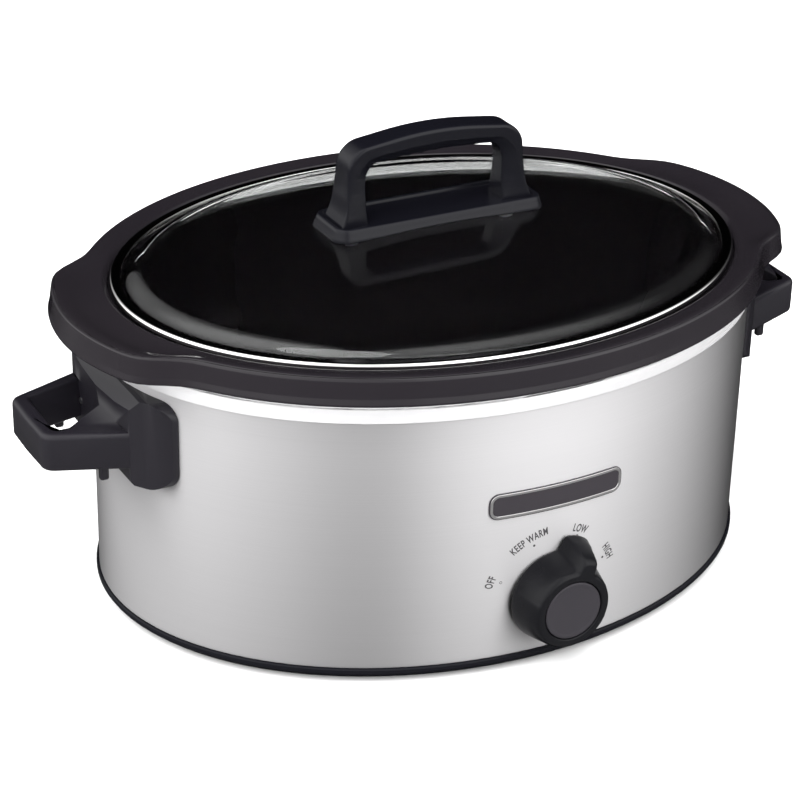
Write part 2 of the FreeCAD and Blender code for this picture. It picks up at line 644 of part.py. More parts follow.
def fuse_clip():
    """Half-round sheet clip over the fuse."""
    start, end = FUSE_START + 6, FUSE_END - 6
    clip = rod(FUSE_RADIUS + 0.8, fuse_axis(start), fuse_axis(end))
    clip = clip.cut(rod(FUSE_RADIUS + SLIP, fuse_axis(start - 1), fuse_axis(end + 1)))
    y = fuse_axis(0).y
    return clip.common(box(start, end, y, y + 10, FUSE_HEIGHT - 6, FUSE_HEIGHT + 6))


def lug():
    """Grip at the +X end of the crock's rim."""
    disc = Part.makeCylinder(LUG_TIP_RADIUS, RIM_TOP - SKIRT_BOTTOM - 1.0,
                             V(LUG_TIP - LUG_TIP_RADIUS, 0, SKIRT_BOTTOM))
    strip = box(120, 210, -LUG_HALF_WIDTH, LUG_HALF_WIDTH, 0, 300)
    body = disc.common(strip)
    corners = [e for e in body.Edges if abs(e.Vertexes[0].Z - e.Vertexes[-1].Z) > 5 and e.Vertexes[0].X > 150]
    return body.makeFillet(LUG_CORNER, corners)


def stoneware_crock():
    """Glazed crock: pot, flange with a rounded rim, a ledge for the lid and a lug at each end."""
    pot = oval(pot_profile(0, CROCK_BOTTOM, SKIRT_BOTTOM + 2))
    flange = oval([(SKIRT_OFFSET - 0.6, SKIRT_BOTTOM - 0.2), (SKIRT_OFFSET, SKIRT_BOTTOM + 0.8),
                   (RIM_OFFSET, RIM_TOP - 2.6), (RIM_OFFSET - 1.2, RIM_TOP - 0.8), (RIM_OFFSET - 3.2, RIM_TOP)])
    crock = fuse_all([pot, flange, lug(), lug().mirror(V(0, 0, 0), V(1, 0, 0))])
    recess = oval([(LEDGE_OFFSET, LEDGE_HEIGHT), (LEDGE_OFFSET, LEDGE_HEIGHT + 2),
                   (RIM_OFFSET - 6.0, RIM_TOP + 0.1)])
    cavity = oval(pot_profile(-CROCK_WALL, CROCK_BOTTOM + CROCK_WALL, LEDGE_HEIGHT + 1))
    return crock.cut(recess).cut(cavity).removeSplitter()


def dome(rise, half_length, half_width, base):
    """Oval cap of the given rise over a flat base."""
    radius = (half_length ** 2 + rise ** 2) / (2 * rise)
    ball = Part.makeSphere(radius, V(0, 0, rise - radius))
    cap = ball.common(Part.makeCylinder(half_length + 5, rise + 5, V(0, 0, 0)))
    squeeze = FreeCAD.Matrix()
    squeeze.scale(1, half_width / half_length, 1)
    cap = cap.transformGeometry(squeeze)
    cap.translate(V(0, 0, base))
    return cap


def lid_glass():
    """Tempered glass lid: a flat brim under the steel rim and a shallow dome, with two screw holes."""
    low = LID_BOTTOM + 0.9
    edge = LID_OFFSET - 1.0
    inner = LID_OFFSET - LID_RING_WIDTH
    length = WRAP_HALF_LENGTH + inner
    width = WRAP_HALF_WIDTH + inner
    brim = oval([(edge, low), (edge, low + GLASS)])
    outside = dome(DOME_CROWN - low - GLASS, length, width, low + GLASS)
    inside = dome(DOME_CROWN - low - GLASS, length - 2, width - 2, low)
    floor = oval([(inner - 2, low - 1), (inner - 2, low)])
    glass = brim.fuse(outside).cut(inside).cut(floor)
    for x in (-HANDLE_SCREW_X, HANDLE_SCREW_X):
        glass = glass.cut(Part.makeCylinder(LID_SCREW_SHANK + 1.2, 60, V(x, 0, 150)))
    return glass.removeSplitter()


def lid_rim():
    """Rolled steel rim that wraps the edge of the glass."""
    top = LID_BOTTOM + LID_RING_HEIGHT
    outside = oval([(LID_OFFSET - 0.5, LID_BOTTOM), (LID_OFFSET, LID_BOTTOM + 0.5), (LID_OFFSET, top - 1.0),
                    (LID_OFFSET - 1.0, top)])
    inner = LID_OFFSET - LID_RING_WIDTH
    rim = outside.cut(oval([(inner, LID_BOTTOM - 1), (inner, top + 1)]))
    slot = oval([(LID_OFFSET - 0.9, LID_BOTTOM + 0.8), (LID_OFFSET - 0.9, LID_BOTTOM + GLASS + 1.0)])
    return rim.cut(slot)


def handle_plate():
    """Base plate of the lid handle, shaped to the dome, with a raised edge."""
    plate = rounded_plate(PLATE_HALF_LENGTH, PLATE_HALF_WIDTH, 9.0, 170, PLATE_TOP)
    low = LID_BOTTOM + 0.9
    inner = LID_OFFSET - LID_RING_WIDTH
    under = dome(DOME_CROWN - low - GLASS, WRAP_HALF_LENGTH + inner, WRAP_HALF_WIDTH + inner,
                 low + GLASS + 0.15)
    plate = plate.cut(under).cut(box(-80, 80, -40, 40, 160, low + GLASS + 0.2))
    dish = rounded_plate(PLATE_HALF_LENGTH - 3, PLATE_HALF_WIDTH - 3, 6.5, PLATE_TOP - 1.2, PLATE_TOP + 1)
    plate = plate.cut(dish)
    for x in (-HANDLE_SCREW_X, HANDLE_SCREW_X):
        plate = plate.cut(Part.makeCylinder(LID_SCREW_SHANK + 0.4, 60, V(x, 0, 150)))
    return plate.removeSplitter()


def grip_arch():
    """Arched grip of the lid handle: two legs and a crowned bar."""
    foot = PLATE_TOP - 1.15
    side = GRIP_HALF_LENGTH
    crown = Part.Arc(V(-side + 13, 0, GRIP_TOP - 3.5), V(0, 0, GRIP_TOP), V(side - 13, 0, GRIP_TOP - 3.5))
    lobe = math.sqrt(0.5)
    bend_x = side - 1 - 12 * (1 - lobe)
    bend_z = GRIP_TOP - 15.5 + 12 * lobe
    left = Part.Arc(V(-side + 1, 0, GRIP_TOP - 15.5), V(-bend_x, 0, bend_z), V(-side + 13, 0, GRIP_TOP - 3.5))
    right = Part.Arc(V(side - 13, 0, GRIP_TOP - 3.5), V(bend_x, 0, bend_z), V(side - 1, 0, GRIP_TOP - 15.5))
    edges = [Part.LineSegment(V(-side, 0, foot), V(-side + 1, 0, GRIP_TOP - 15.5)).toShape(), left.toShape(),
             crown.toShape(), right.toShape(),
             Part.LineSegment(V(side - 1, 0, GRIP_TOP - 15.5), V(side, 0, foot)).toShape(),
             Part.LineSegment(V(side, 0, foot), V(-side, 0, foot)).toShape()]
    arch = Part.Face(Part.Wire(edges)).extrude(V(0, GRIP_DEPTH, 0))
    arch.translate(V(0, -GRIP_DEPTH / 2, 0))
    window = box(-side + LEG_WIDTH, side - LEG_WIDTH, -30, 30, foot - 10, GRIP_UNDERSIDE)
    top_corners = [e for e in window.Edges
                   if abs(e.Vertexes[0].Y - e.Vertexes[1].Y) > 1 and e.Vertexes[0].Z > GRIP_UNDERSIDE - 1]
    arch = arch.cut(window.makeFillet(8.0, top_corners))
    long_edges = [e for e in arch.Edges if abs(e.Vertexes[0].Y - e.Vertexes[-1].Y) < 0.1 and
                  e.BoundBox.ZMax > foot + 1]
    arch = arch.makeFillet(2.4, long_edges)
    for x in (-HANDLE_SCREW_X, HANDLE_SCREW_X):
        arch = arch.cut(Part.makeCylinder(LID_SCREW_SHANK + SLIP, 14, V(x, 0, foot - 1)))
    return arch


def lid_screws():
    """Two screws from under the glass into the grip's legs."""
    screws = []
    for x in (-HANDLE_SCREW_X, HANDLE_SCREW_X):
        head = Part.makeCylinder(LID_SCREW_HEAD, 2.4, V(x, 0, LID_SCREW_SEAT - 2.4))
        shank = Part.makeCylinder(LID_SCREW_SHANK, PLATE_TOP + 10 - LID_SCREW_SEAT, V(x, 0, LID_SCREW_SEAT))
        screws.append(head.fuse(shank).removeSplitter())
    return Part.makeCompound(screws)


def lid_washers():
    """Silicone washers between the screw heads and the glass."""
    rings = []
    low = LID_BOTTOM + 0.9
    inner = LID_OFFSET - LID_RING_WIDTH - 2
    under = dome(DOME_CROWN - low - GLASS, WRAP_HALF_LENGTH + inner, WRAP_HALF_WIDTH + inner, low - 0.05)
    for x in (-HANDLE_SCREW_X, HANDLE_SCREW_X):
        ring = Part.makeCylinder(WASHER_RADIUS, 12, V(x, 0, LID_SCREW_SEAT + TOUCH)).common(under)
        rings.append(ring.cut(Part.makeCylinder(LID_SCREW_SHANK + SLIP, 30, V(x, 0, LID_SCREW_SEAT - 5))))
    return Part.makeCompound(rings)


def build():
    """Every sub-part, by the name of its node."""
    handle = side_handle()
    return {
        "outer_wrap": outer_wrap(),
        "base_pan": base_pan(),
        "feet": feet(),
        "heating_well": heating_well(),
        "tie_stud": tie_stud(),
        "tie_nut": tie_nut(),
        "heater_band": heater_band(),
        "band_straps": band_straps(),
        "strap_screws": strap_screws(),
        "side_handle_right": handle,
        "side_handle_left": handle.mirror(V(0, 0, 0), V(1, 0, 0)),
        "backing_plates": backing_plates(),
        "side_handle_screws": side_handle_screws(),
        "nameplate": nameplate(),
        "cord_gland": cord_gland(),
        "switch_body": switch_body(),
        "switch_cover": switch_cover(),
        "switch_terminals": switch_terminals(),
        "switch_nut": switch_nut(),
        "supply_wires": supply_wires(),
        "wire_crimps": wire_crimps(),
        "heater_leads": heater_leads(),
        "thermal_fuse": thermal_fuse(),
        "fuse_clip": fuse_clip(),
        "switch_shaft": switch_shaft(),
        "control_knob": control_knob(),
        "knob_cap": knob_cap(),
        "knob_clip": knob_clip(),
        "stoneware_crock": stoneware_crock(),
        "lid_glass": lid_glass(),
        "lid_rim": lid_rim(),
        "handle_plate": handle_plate(),
        "handle_grip": grip_arch(),
        "lid_screws": lid_screws(),
        "lid_washers": lid_washers(),
    }


os.makedirs("parts", exist_ok=True)
for name, shape in build().items():
    shape.exportStep("parts/" + name + ".step")
    bounds = shape.BoundBox
    extents = (bounds.XMin, bounds.XMax, bounds.YMin, bounds.YMax, bounds.ZMin, bounds.ZMax)
    print(name, len(shape.Solids), "valid" if shape.isValid() else "INVALID", round(shape.Volume),
          [round(v, 1) for v in extents])
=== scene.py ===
import json
import math
import bpy
import bmesh
from mathutils import Matrix, Vector


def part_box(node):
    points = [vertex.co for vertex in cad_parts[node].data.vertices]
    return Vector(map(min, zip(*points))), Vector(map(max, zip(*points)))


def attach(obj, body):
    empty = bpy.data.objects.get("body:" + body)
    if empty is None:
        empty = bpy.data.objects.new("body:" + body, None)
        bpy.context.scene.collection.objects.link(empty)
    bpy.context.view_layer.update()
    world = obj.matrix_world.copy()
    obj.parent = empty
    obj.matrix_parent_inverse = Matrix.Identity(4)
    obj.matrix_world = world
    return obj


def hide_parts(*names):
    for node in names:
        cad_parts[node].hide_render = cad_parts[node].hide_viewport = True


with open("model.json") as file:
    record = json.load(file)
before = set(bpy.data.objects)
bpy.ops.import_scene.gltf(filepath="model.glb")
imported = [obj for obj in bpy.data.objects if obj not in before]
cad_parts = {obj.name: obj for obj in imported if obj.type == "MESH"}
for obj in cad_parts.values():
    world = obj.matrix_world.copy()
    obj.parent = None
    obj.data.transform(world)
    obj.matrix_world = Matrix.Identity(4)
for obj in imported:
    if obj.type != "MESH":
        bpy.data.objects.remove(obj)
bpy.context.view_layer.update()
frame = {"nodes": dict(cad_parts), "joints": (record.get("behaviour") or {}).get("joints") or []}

MM = 0.001
SEGMENTS = 224

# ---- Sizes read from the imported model, in millimetres ----


def low(node):
    """Lowest corner of a CAD node, in millimetres."""
    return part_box(node)[0] / MM


def high(node):
    """Highest corner of a CAD node, in millimetres."""
    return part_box(node)[1] / MM


WRAP_A = high("outer_wrap").x
WRAP_B = high("outer_wrap").y
WRAP_LOW = low("outer_wrap").z
RING_TOP = high("heating_well").z
WELL_FLOOR = low("heating_well").z
RING_BULGE = high("heating_well").x - WRAP_A
CROCK_LOW = low("stoneware_crock").z
RIM_TOP = high("stoneware_crock").z
LUG_TIP = high("stoneware_crock").x
LID_LOW = low("lid_rim").z
LID_TOP = high("lid_rim").z
LID_EDGE = high("lid_rim").x - WRAP_A
CROWN = high("lid_glass").z
DIAL = next(j["pos_m"][2] for j in frame["joints"] if j["name"] == "knob_turn") / MM


# ---- Sizes that only the looks use, in millimetres ----

SKIRT_LOW = 154.8  # underside of the crock's skirt
SKIRT_OUT = 7.0  # how far the skirt stands outside the wrap
LUG_EXTRA = 3.5  # how much further a lug reaches than in the CAD
LUG_HALF = 61.0  # half the width of a lug
LUG_FLANK = 3.0  # softness of its flanks
WELL_SHEET = 0.8  # thickness of the heating well
WELL_GAP = 3.0  # gap between the well and the crock
GLASS_THICK = 3.6
GLASS_LIFT = 0.9  # height of the glass over the underside of the lid rim
GLASS_INSET = 6.0  # how far the shoulder of the glass stands inside the edge of the lid
SHOULDER = 10.0  # width of the steep shoulder of the glass
SHOULDER_DROP = 5.0  # height of that shoulder
POINTER = math.radians(20.5)  # direction of the knob's pointer, from straight up
PRINT_PROUD = 0.06  # how far the print stands proud of the wall
LETTER_HEIGHT = 4.0
CAPITAL_SHARE = 0.69  # height of a capital as a share of the font's size
LETTER_SQUEEZE = 0.62  # width of the letters as a share of the font's own


# ---- Mesh helpers ----


def new_object(name, data):
    """An object with the given data, placed in the scene."""
    thing = bpy.data.objects.new(name, data)
    bpy.context.scene.collection.objects.link(thing)
    return thing


def shade_smooth(mesh):
    """Makes every face of a mesh smooth-shaded."""
    mesh.polygons.foreach_set("use_smooth", [True] * len(mesh.polygons))


def turns(count):
    """Evenly spaced angles of a full turn."""
    return [2 * math.pi * k / count for k in range(count)]


def make_object(name, verts, faces, materials, body, slots=None):
    """A smooth-shaded mesh object from points in millimetres, riding on a body."""
    mesh = bpy.data.meshes.new(name)
    mesh.from_pydata([Vector(v) * MM for v in verts], [], faces)
    for material in materials:
        mesh.materials.append(material)
    if slots:
        mesh.polygons.foreach_set("material_index", slots)
    work = bmesh.new()
    work.from_mesh(mesh)
    bmesh.ops.recalc_face_normals(work, faces=work.faces)
    work.to_mesh(mesh)
    work.free()
    shade_smooth(mesh)
    thing = new_object(name, mesh)
    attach(thing, body)
    return thing


def rounded(corners, closed=False, steps=6, support=0.8):
    """A path through (a, b, radius) corners: each corner an arc, with a support point beside it."""
    count = len(corners)
    path = []
    for k, (a, b, radius) in enumerate(corners):
        here = Vector((a, b))
        if not closed and k in (0, count - 1):
            path.append(here)
            continue
        before = Vector(corners[k - 1][:2])
        after = Vector(corners[(k + 1) % count][:2])
        back = (before - here).normalized()
        ahead = (after - here).normalized()
        angle = math.acos(max(-1.0, min(1.0, back.dot(ahead))))
        if radius <= 0 or angle > math.radians(178):
            path.append(here)
            continue
        reach = radius / math.tan(angle / 2)
        reach = min(reach, 0.48 * (before - here).length, 0.48 * (after - here).length)
        radius = reach * math.tan(angle / 2)
        centre = here + (back + ahead).normalized() * (radius / math.sin(angle / 2))
        start = here + back * reach
        end = here + ahead * reach
        room_before = (before - here).length - reach
        room_after = (after - here).length - reach
        path.append(start + back * min(support, 0.25 * room_before))
        first = (start - centre).normalized()
        last = (end - centre).normalized()
        sweep = math.acos(max(-1.0, min(1.0, first.dot(last))))
        for step in range(steps + 1):
            share = step / steps
            direction = first
            if sweep >= 1e-4:
                blend = first * math.sin((1 - share) * sweep) + last * math.sin(share * sweep)
                direction = blend / math.sin(sweep)
            path.append(centre + direction * radius)
        path.append(end + ahead * min(support, 0.25 * room_after))
    return path


def lug_reach(y):
    """Share of a lug's full reach at a distance y from the long axis."""
    return 1.0 / (1.0 + math.exp((abs(y) - LUG_HALF) / LUG_FLANK))


def oval_ring(offset, z, lug=0.0, dip=0.0):
    """Points round the oval, outside the wrap by the offset; lug and dip push its ends out and down."""
    ring = []
    for turn in turns(SEGMENTS):
        x = (WRAP_A + offset) * math.cos(turn)
        y = (WRAP_B + offset) * math.sin(turn)
        share = lug_reach(y) if (lug or dip) and abs(x) > WRAP_A / 2 else 0.0
        ring.append((x + math.copysign(lug * share, x), y, z - dip * share))
    return ring


def band(a, b, count):
    """Quads between two rings of points, which start at a and at b."""
    return [(a + k, a + (k + 1) % count, b + (k + 1) % count, b + k) for k in range(count)]


def fan(start, count, middle):
    """Triangles between a ring of points and a middle point."""
    return [(start + k, start + (k + 1) % count, middle) for k in range(count)]


def stitch(rings, closed=False):
    """Quads between neighbouring rings."""
    faces = []
    count = len(rings[0])
    last = len(rings) if closed else len(rings) - 1
    for r in range(last):
        faces.extend(band(r * count, (r + 1) % len(rings) * count, count))
    return faces


def oval_tube(name, corners, material, body, steps):
    """Closed ring-shaped solid: an (offset, height, radius) outline carried round the oval."""
    path = rounded(corners, closed=True, steps=steps)
    rings = [oval_ring(p.x, p.y) for p in path]
    verts = [v for ring in rings for v in ring]
    return make_object(name, verts, stitch(rings, closed=True), [material], body)


def close_centre(verts, faces, ring, z):
    """Fills the inside of the ring that ends the points with shrinking rings and a middle point."""
    count = len(ring)
    start = len(verts) - count
    for share in (0.92, 0.75, 0.5, 0.25):
        verts.extend((x * share, y * share, z) for x, y, _ in ring)
        faces.extend(band(start, start + count, count))
        start += count
    verts.append((0, 0, z))
    faces.extend(fan(start, count, len(verts) - 1))


def oval_bowl(name, rows, material, body):
    """Closed solid from (offset, height, lug, dip) rows, from the inside's floor to the underside."""
    rings = [oval_ring(*row) for row in rows]
    verts = [v for ring in reversed(rings) for v in ring]
    faces = stitch(rings)
    close_centre(verts, faces, rings[0], rows[0][1])
    verts.extend(rings[-1])
    close_centre(verts, faces, rings[-1], rows[-1][1])
    thing = make_object(name, verts, faces, [material], body)
    weld(thing)
    return thing


def weld(thing):
    """Merges points that lie on each other, and faces normals outwards."""
    work = bmesh.new()
    work.from_mesh(thing.data)
    bmesh.ops.remove_doubles(work, verts=work.verts, dist=0.002 * MM)
    bmesh.ops.recalc_face_normals(work, faces=work.faces)
    work.to_mesh(thing.data)
    work.free()
    shade_smooth(thing.data)


def inset(corners, depth):
    """A closed anticlockwise outline moved inwards by a depth, its radii with it."""
    moved = []
    count = len(corners)
    for k, (x, y, radius) in enumerate(corners):
        here = Vector((x, y))
        back = (here - Vector(corners[k - 1][:2])).normalized()
        ahead = (Vector(corners[(k + 1) % count][:2]) - here).normalized()
        first, second = Vector((-back.y, back.x)), Vector((-ahead.y, ahead.x))
        shift = (first + second) * (depth / (1 + first.dot(second)))
        turn = back.x * ahead.y - back.y * ahead.x
        radius = max(0.05, radius - math.copysign(depth, turn)) if depth else radius
        moved.append((here.x + shift.x, here.y + shift.y, radius))
    return moved


def layers(corners, rows, steps=6):
    """Rings of (x, y, z) points: the outline inset by each row's depth, at each row's height."""
    rings = []
    for depth, z in rows:
        path = rounded(inset(corners, depth), closed=True, steps=steps)
        rings.append([(p.x, p.y, z) for p in path])
    return rings


def capped(name, rings, material, body):
    """Closed solid from a stack of rings, each end closed by one flat face."""
    verts = [v for ring in rings for v in ring]
    faces = stitch(rings)
    count = len(rings[0])
    faces.append(tuple(range(count)))
    faces.append(tuple(range(len(verts) - count, len(verts))))
    return make_object(name, verts, faces, [material], body)


def edge_rows(low_z, high_z, radius, low_radius=None):
    """Rows of (depth, z) up a wall with rounded edges, with a support row on each flat."""
    support = 0.6
    steps = 4
    quarter = [math.pi / 2 * k / steps for k in range(steps + 1)]
    low_radius = radius if low_radius is None else low_radius
    rows = [(low_radius + support, low_z)]
    for turn in quarter:
        rows.append((low_radius * (1 - math.sin(turn)), low_z + low_radius * (1 - math.cos(turn))))
    for turn in quarter:
        rows.append((radius * (1 - math.cos(turn)), high_z - radius * (1 - math.sin(turn))))
    rows.append((radius + support, high_z))
    return rows


def settle(thing):
    """Applies an object's modifiers."""
    graph = bpy.context.evaluated_depsgraph_get()
    mesh = bpy.data.meshes.new_from_object(thing.evaluated_get(graph))
    thing.modifiers.clear()
    thing.data = mesh


def combine(thing, other, how):
    """Boolean of two closed objects; the second one is used up."""
    step = thing.modifiers.new("combine", "BOOLEAN")
    step.object = other
    step.operation = how
    step.solver = "MANIFOLD"
    settle(thing)
    bpy.data.objects.remove(other)


def soften(thing, width):
    """Rounds the sharp edges of an object and evens out its normals."""
    step = thing.modifiers.new("edges", "BEVEL")
    step.width = width * MM
    step.segments = 3
    step.limit_method = "ANGLE"
    step.angle_limit = math.radians(28)
    step.use_clamp_overlap = True
    even = thing.modifiers.new("normals", "WEIGHTED_NORMAL")
    even.keep_sharp = True
    settle(thing)
    shade_smooth(thing.data)


def mirrored(name, thing, body):
    """A copy of an object, mirrored to the other end."""
    mesh = thing.data.copy()
    mesh.transform(Matrix.Scale(-1, 4, (1, 0, 0)))
    mesh.flip_normals()
    twin = new_object(name, mesh)
    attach(twin, body)
    return twin


# ---- Materials ----


def new_material(name):
    """A node material with its Principled shader: the material, its nodes, links and shader."""
    material = bpy.data.materials.new(name)
    material.use_nodes = True
    tree = material.node_tree
    shader = tree.nodes["Principled BSDF"]
    return material, tree.nodes, tree.links, shader


def noise(nodes, links, scale, detail, stretch=(1, 1, 1)):
    """A noise texture in object space, stretched along the axes."""
    place = nodes.new("ShaderNodeTexCoord")
    mapping = nodes.new("ShaderNodeMapping")
    mapping.inputs["Scale"].default_value = stretch
    texture = nodes.new("ShaderNodeTexNoise")
    texture.inputs["Scale"].default_value = scale
    texture.inputs["Detail"].default_value = detail
    links.new(place.outputs["Object"], mapping.inputs["Vector"])
    links.new(mapping.outputs["Vector"], texture.inputs["Vector"])
    return texture


def spread(nodes, links, source, low_value, high_value):
    """Maps a texture's 0 to 1 onto a range."""
    node = nodes.new("ShaderNodeMapRange")
    node.inputs["To Min"].default_value = low_value
    node.inputs["To Max"].default_value = high_value
    links.new(source, node.inputs["Value"])
    return node.outputs["Result"]


def bump(nodes, links, shader, source, strength, depth):
    """Bump from a height source, in metres of depth."""
    node = nodes.new("ShaderNodeBump")
    node.inputs["Strength"].default_value = strength
    node.inputs["Distance"].default_value = depth
    links.new(source, node.inputs["Height"])
    links.new(node.outputs["Normal"], shader.inputs["Normal"])


def tint(nodes, links, source, dark, light):
    """Mixes two colours by a texture."""
    node = nodes.new("ShaderNodeMix")
    node.data_type = "RGBA"
    node.inputs["A"].default_value = (*dark, 1)
    node.inputs["B"].default_value = (*light, 1)
    links.new(source, node.inputs["Factor"])
    return node.outputs["Result"]


def brushed_steel(name, shade, roughness, anisotropy, vary=0.02, grain=(6, 6, 5200), foot=1.0,
                  metal=1.0):
    """Steel brushed in level lines round the object; foot is the share of its tone at its foot: below 1
    it paints shade into the colour, darker towards the bottom.
    """
    material, nodes, links, shader = new_material(name)
    lines = noise(nodes, links, 1.0, 2.0, grain)
    patches = noise(nodes, links, 9.0, 3.0, (1, 1, 0.6))
    shader.inputs["Metallic"].default_value = metal
    shader.inputs["Anisotropic"].default_value = anisotropy
    tangent = nodes.new("ShaderNodeTangent")
    tangent.direction_type = "RADIAL"
    tangent.axis = "Z"
    shader.inputs["Anisotropic Rotation"].default_value = 0.25
    links.new(tangent.outputs["Tangent"], shader.inputs["Tangent"])
    dark = [c * 0.93 for c in shade]
    colour = tint(nodes, links, lines.outputs["Fac"], dark, shade)
    # Painted shade: the tone falls towards the foot, standing in for the shadow that the lower steel
    # mirrors.
    if foot < 1:
        place = nodes.new("ShaderNodeTexCoord")
        split = nodes.new("ShaderNodeSeparateXYZ")
        links.new(place.outputs["Object"], split.inputs["Vector"])
        level = spread(nodes, links, split.outputs["Z"], foot, 1.0)
        level.node.inputs["From Min"].default_value = WRAP_LOW * MM
        level.node.inputs["From Max"].default_value = 0.8 * RING_TOP * MM
        scale = nodes.new("ShaderNodeVectorMath")
        scale.operation = "SCALE"
        links.new(colour, scale.inputs["Vector"])
        links.new(level, scale.inputs["Scale"])
        colour = scale.outputs["Vector"]
    links.new(colour, shader.inputs["Base Color"])
    links.new(spread(nodes, links, patches.outputs["Fac"], roughness - vary, roughness + vary),
              shader.inputs["Roughness"])
    bump(nodes, links, shader, lines.outputs["Fac"], 0.06, 0.00002)
    return material


def plastic(name, shade, roughness, grain=900.0, depth=0.00002, strength=0.25, gloss=0.5):
    """Moulded plastic with a fine grain, slightly uneven in tone and roughness."""
    tone, vary = 0.15, 0.05
    material, nodes, links, shader = new_material(name)
    fine = noise(nodes, links, grain, 2.0)
    wide = noise(nodes, links, 14.0, 3.0)
    colour = tint(nodes, links, wide.outputs["Fac"], [c * (1 - tone) for c in shade],
                  [c * (1 + tone) for c in shade])
    links.new(colour, shader.inputs["Base Color"])
    links.new(spread(nodes, links, wide.outputs["Fac"], roughness - vary, roughness + vary),
              shader.inputs["Roughness"])
    shader.inputs["Specular IOR Level"].default_value = gloss
    bump(nodes, links, shader, fine.outputs["Fac"], strength, depth)
    return material


def glazed_stoneware():
    """Black glaze: glossy, faintly warm, with a slight ripple."""
    material, nodes, links, shader = new_material("black_glaze")
    ripple = noise(nodes, links, 55.0, 2.0)
    cloud = noise(nodes, links, 7.0, 4.0)
    dark, light = (0.007, 0.006, 0.008), (0.015, 0.013, 0.015)
    colour = tint(nodes, links, cloud.outputs["Fac"], dark, light)
    links.new(colour, shader.inputs["Base Color"])
    links.new(spread(nodes, links, cloud.outputs["Fac"], 0.05, 0.12), shader.inputs["Roughness"])
    shader.inputs["IOR"].default_value = 1.36
    bump(nodes, links, shader, ripple.outputs["Fac"], 0.12, 0.0003)
    return material


def clear_glass():
    """Clear tempered glass with a hint of grey."""
    material, nodes, links, shader = new_material("clear_glass")
    cloud = noise(nodes, links, 8.0, 2.0)
    shader.inputs["Transmission Weight"].default_value = 1.0
    shader.inputs["IOR"].default_value = 1.48
    colour = tint(nodes, links, cloud.outputs["Fac"], (0.93, 0.95, 0.94), (0.97, 0.98, 0.975))
    links.new(colour, shader.inputs["Base Color"])
    links.new(spread(nodes, links, cloud.outputs["Fac"], 0.0, 0.012), shader.inputs["Roughness"])
    return material


FINE_STEEL = (900, 900, 900)
# foot=0.74 paints shade: the wrap's colour darkens towards the bottom.
WRAP_STEEL = brushed_steel("wrap_brushed_steel_painted_foot_shade", (0.82, 0.81, 0.82), 0.50, 0.90, foot=0.74)
RING_STEEL = brushed_steel("ring_polished_steel", (0.80, 0.795, 0.805), 0.42, 0.6, vary=0.03,
                           metal=0.55)
LID_STEEL = brushed_steel("lid_rim_steel", (0.90, 0.89, 0.88), 0.12, 0.3, vary=0.03)
ZINC = brushed_steel("zinc_steel", (0.60, 0.61, 0.63), 0.35, 0.0, vary=0.06, grain=FINE_STEEL)
BRASS = brushed_steel("brass_blade", (0.80, 0.60, 0.28), 0.28, 0.0, vary=0.05, grain=FINE_STEEL)
BASE_BLACK = plastic("base_black", (0.004, 0.004, 0.006), 0.40, gloss=0.11)
HANDLE_BLACK = plastic("handle_charcoal", (0.009, 0.008, 0.011), 0.38, grain=1100.0, depth=0.00003,
                       strength=0.3, gloss=0.29)
GRIP_BLACK = plastic("grip_black", (0.004, 0.004, 0.006), 0.24, grain=700.0, depth=0.00001,
                     strength=0.15, gloss=0.18)
KNOB_BLACK = plastic("knob_black", (0.004, 0.004, 0.005), 0.28, strength=0.2, gloss=0.15)
CAP_GREY = plastic("cap_grey", (0.019, 0.017, 0.021), 0.48, grain=1300.0, strength=0.3, gloss=0.3)
BADGE_DARK = plastic("badge_dark", (0.022, 0.019, 0.023), 0.40, grain=1300.0, gloss=0.3)
BADGE_SILVER = brushed_steel("badge_silver", (0.58, 0.57, 0.57), 0.34, 0.0, vary=0.04,
                             grain=(600, 600, 600))
PRINT_GREY = plastic("print_grey", (0.045, 0.042, 0.045), 0.6, depth=0.00001, strength=0.1)
SWITCH_CREAM = plastic("switch_cream", (0.62, 0.56, 0.44), 0.5)
SLEEVE_WHITE = plastic("sleeve_white", (0.72, 0.70, 0.66), 0.7, grain=2200.0, depth=0.0001,
                       strength=0.6)
MICA = plastic("mica_board", (0.50, 0.42, 0.28), 0.45, grain=300.0, depth=0.00005, strength=0.4)
RUBBER = plastic("foot_rubber", (0.025, 0.025, 0.025), 0.75, grain=1500.0, depth=0.00004, strength=0.4)
SILICONE = plastic("silicone", (0.55, 0.55, 0.54), 0.5)
GLAZE = glazed_stoneware()
GLASS = clear_glass()

CAD_LOOKS = {
    "base_pan": BASE_BLACK, "feet": RUBBER, "tie_stud": ZINC, "tie_nut": ZINC, "heater_band": MICA,
    "band_straps": ZINC, "strap_screws": ZINC, "side_handle_right": HANDLE_BLACK,
    "side_handle_left": HANDLE_BLACK, "backing_plates": ZINC, "side_handle_screws": ZINC,
    "nameplate": BADGE_DARK, "cord_gland": BASE_BLACK, "switch_body": SWITCH_CREAM,
    "switch_cover": SWITCH_CREAM, "switch_terminals": BRASS, "switch_nut": ZINC,
    "supply_wires": SLEEVE_WHITE, "wire_crimps": SLEEVE_WHITE, "heater_leads": SLEEVE_WHITE,
    "thermal_fuse": SLEEVE_WHITE, "fuse_clip": ZINC, "switch_shaft": ZINC, "control_knob": KNOB_BLACK,
    "knob_cap": CAP_GREY, "knob_clip": ZINC, "stoneware_crock": GLAZE, "lid_glass": GLASS,
    "lid_rim": LID_STEEL, "handle_plate": GRIP_BLACK, "handle_grip": GRIP_BLACK, "lid_screws": ZINC,
    "lid_washers": SILICONE, "outer_wrap": WRAP_STEEL, "heating_well": RING_STEEL,
}


def dress_cad():
    """Gives every CAD node its material."""
    for name, look in CAD_LOOKS.items():
        node = frame["nodes"][name]
        if not node.data.materials:
            node.data.materials.append(look)
        for k in range(len(node.material_slots)):
            node.material_slots[k].material = look


# ---- Housing ----


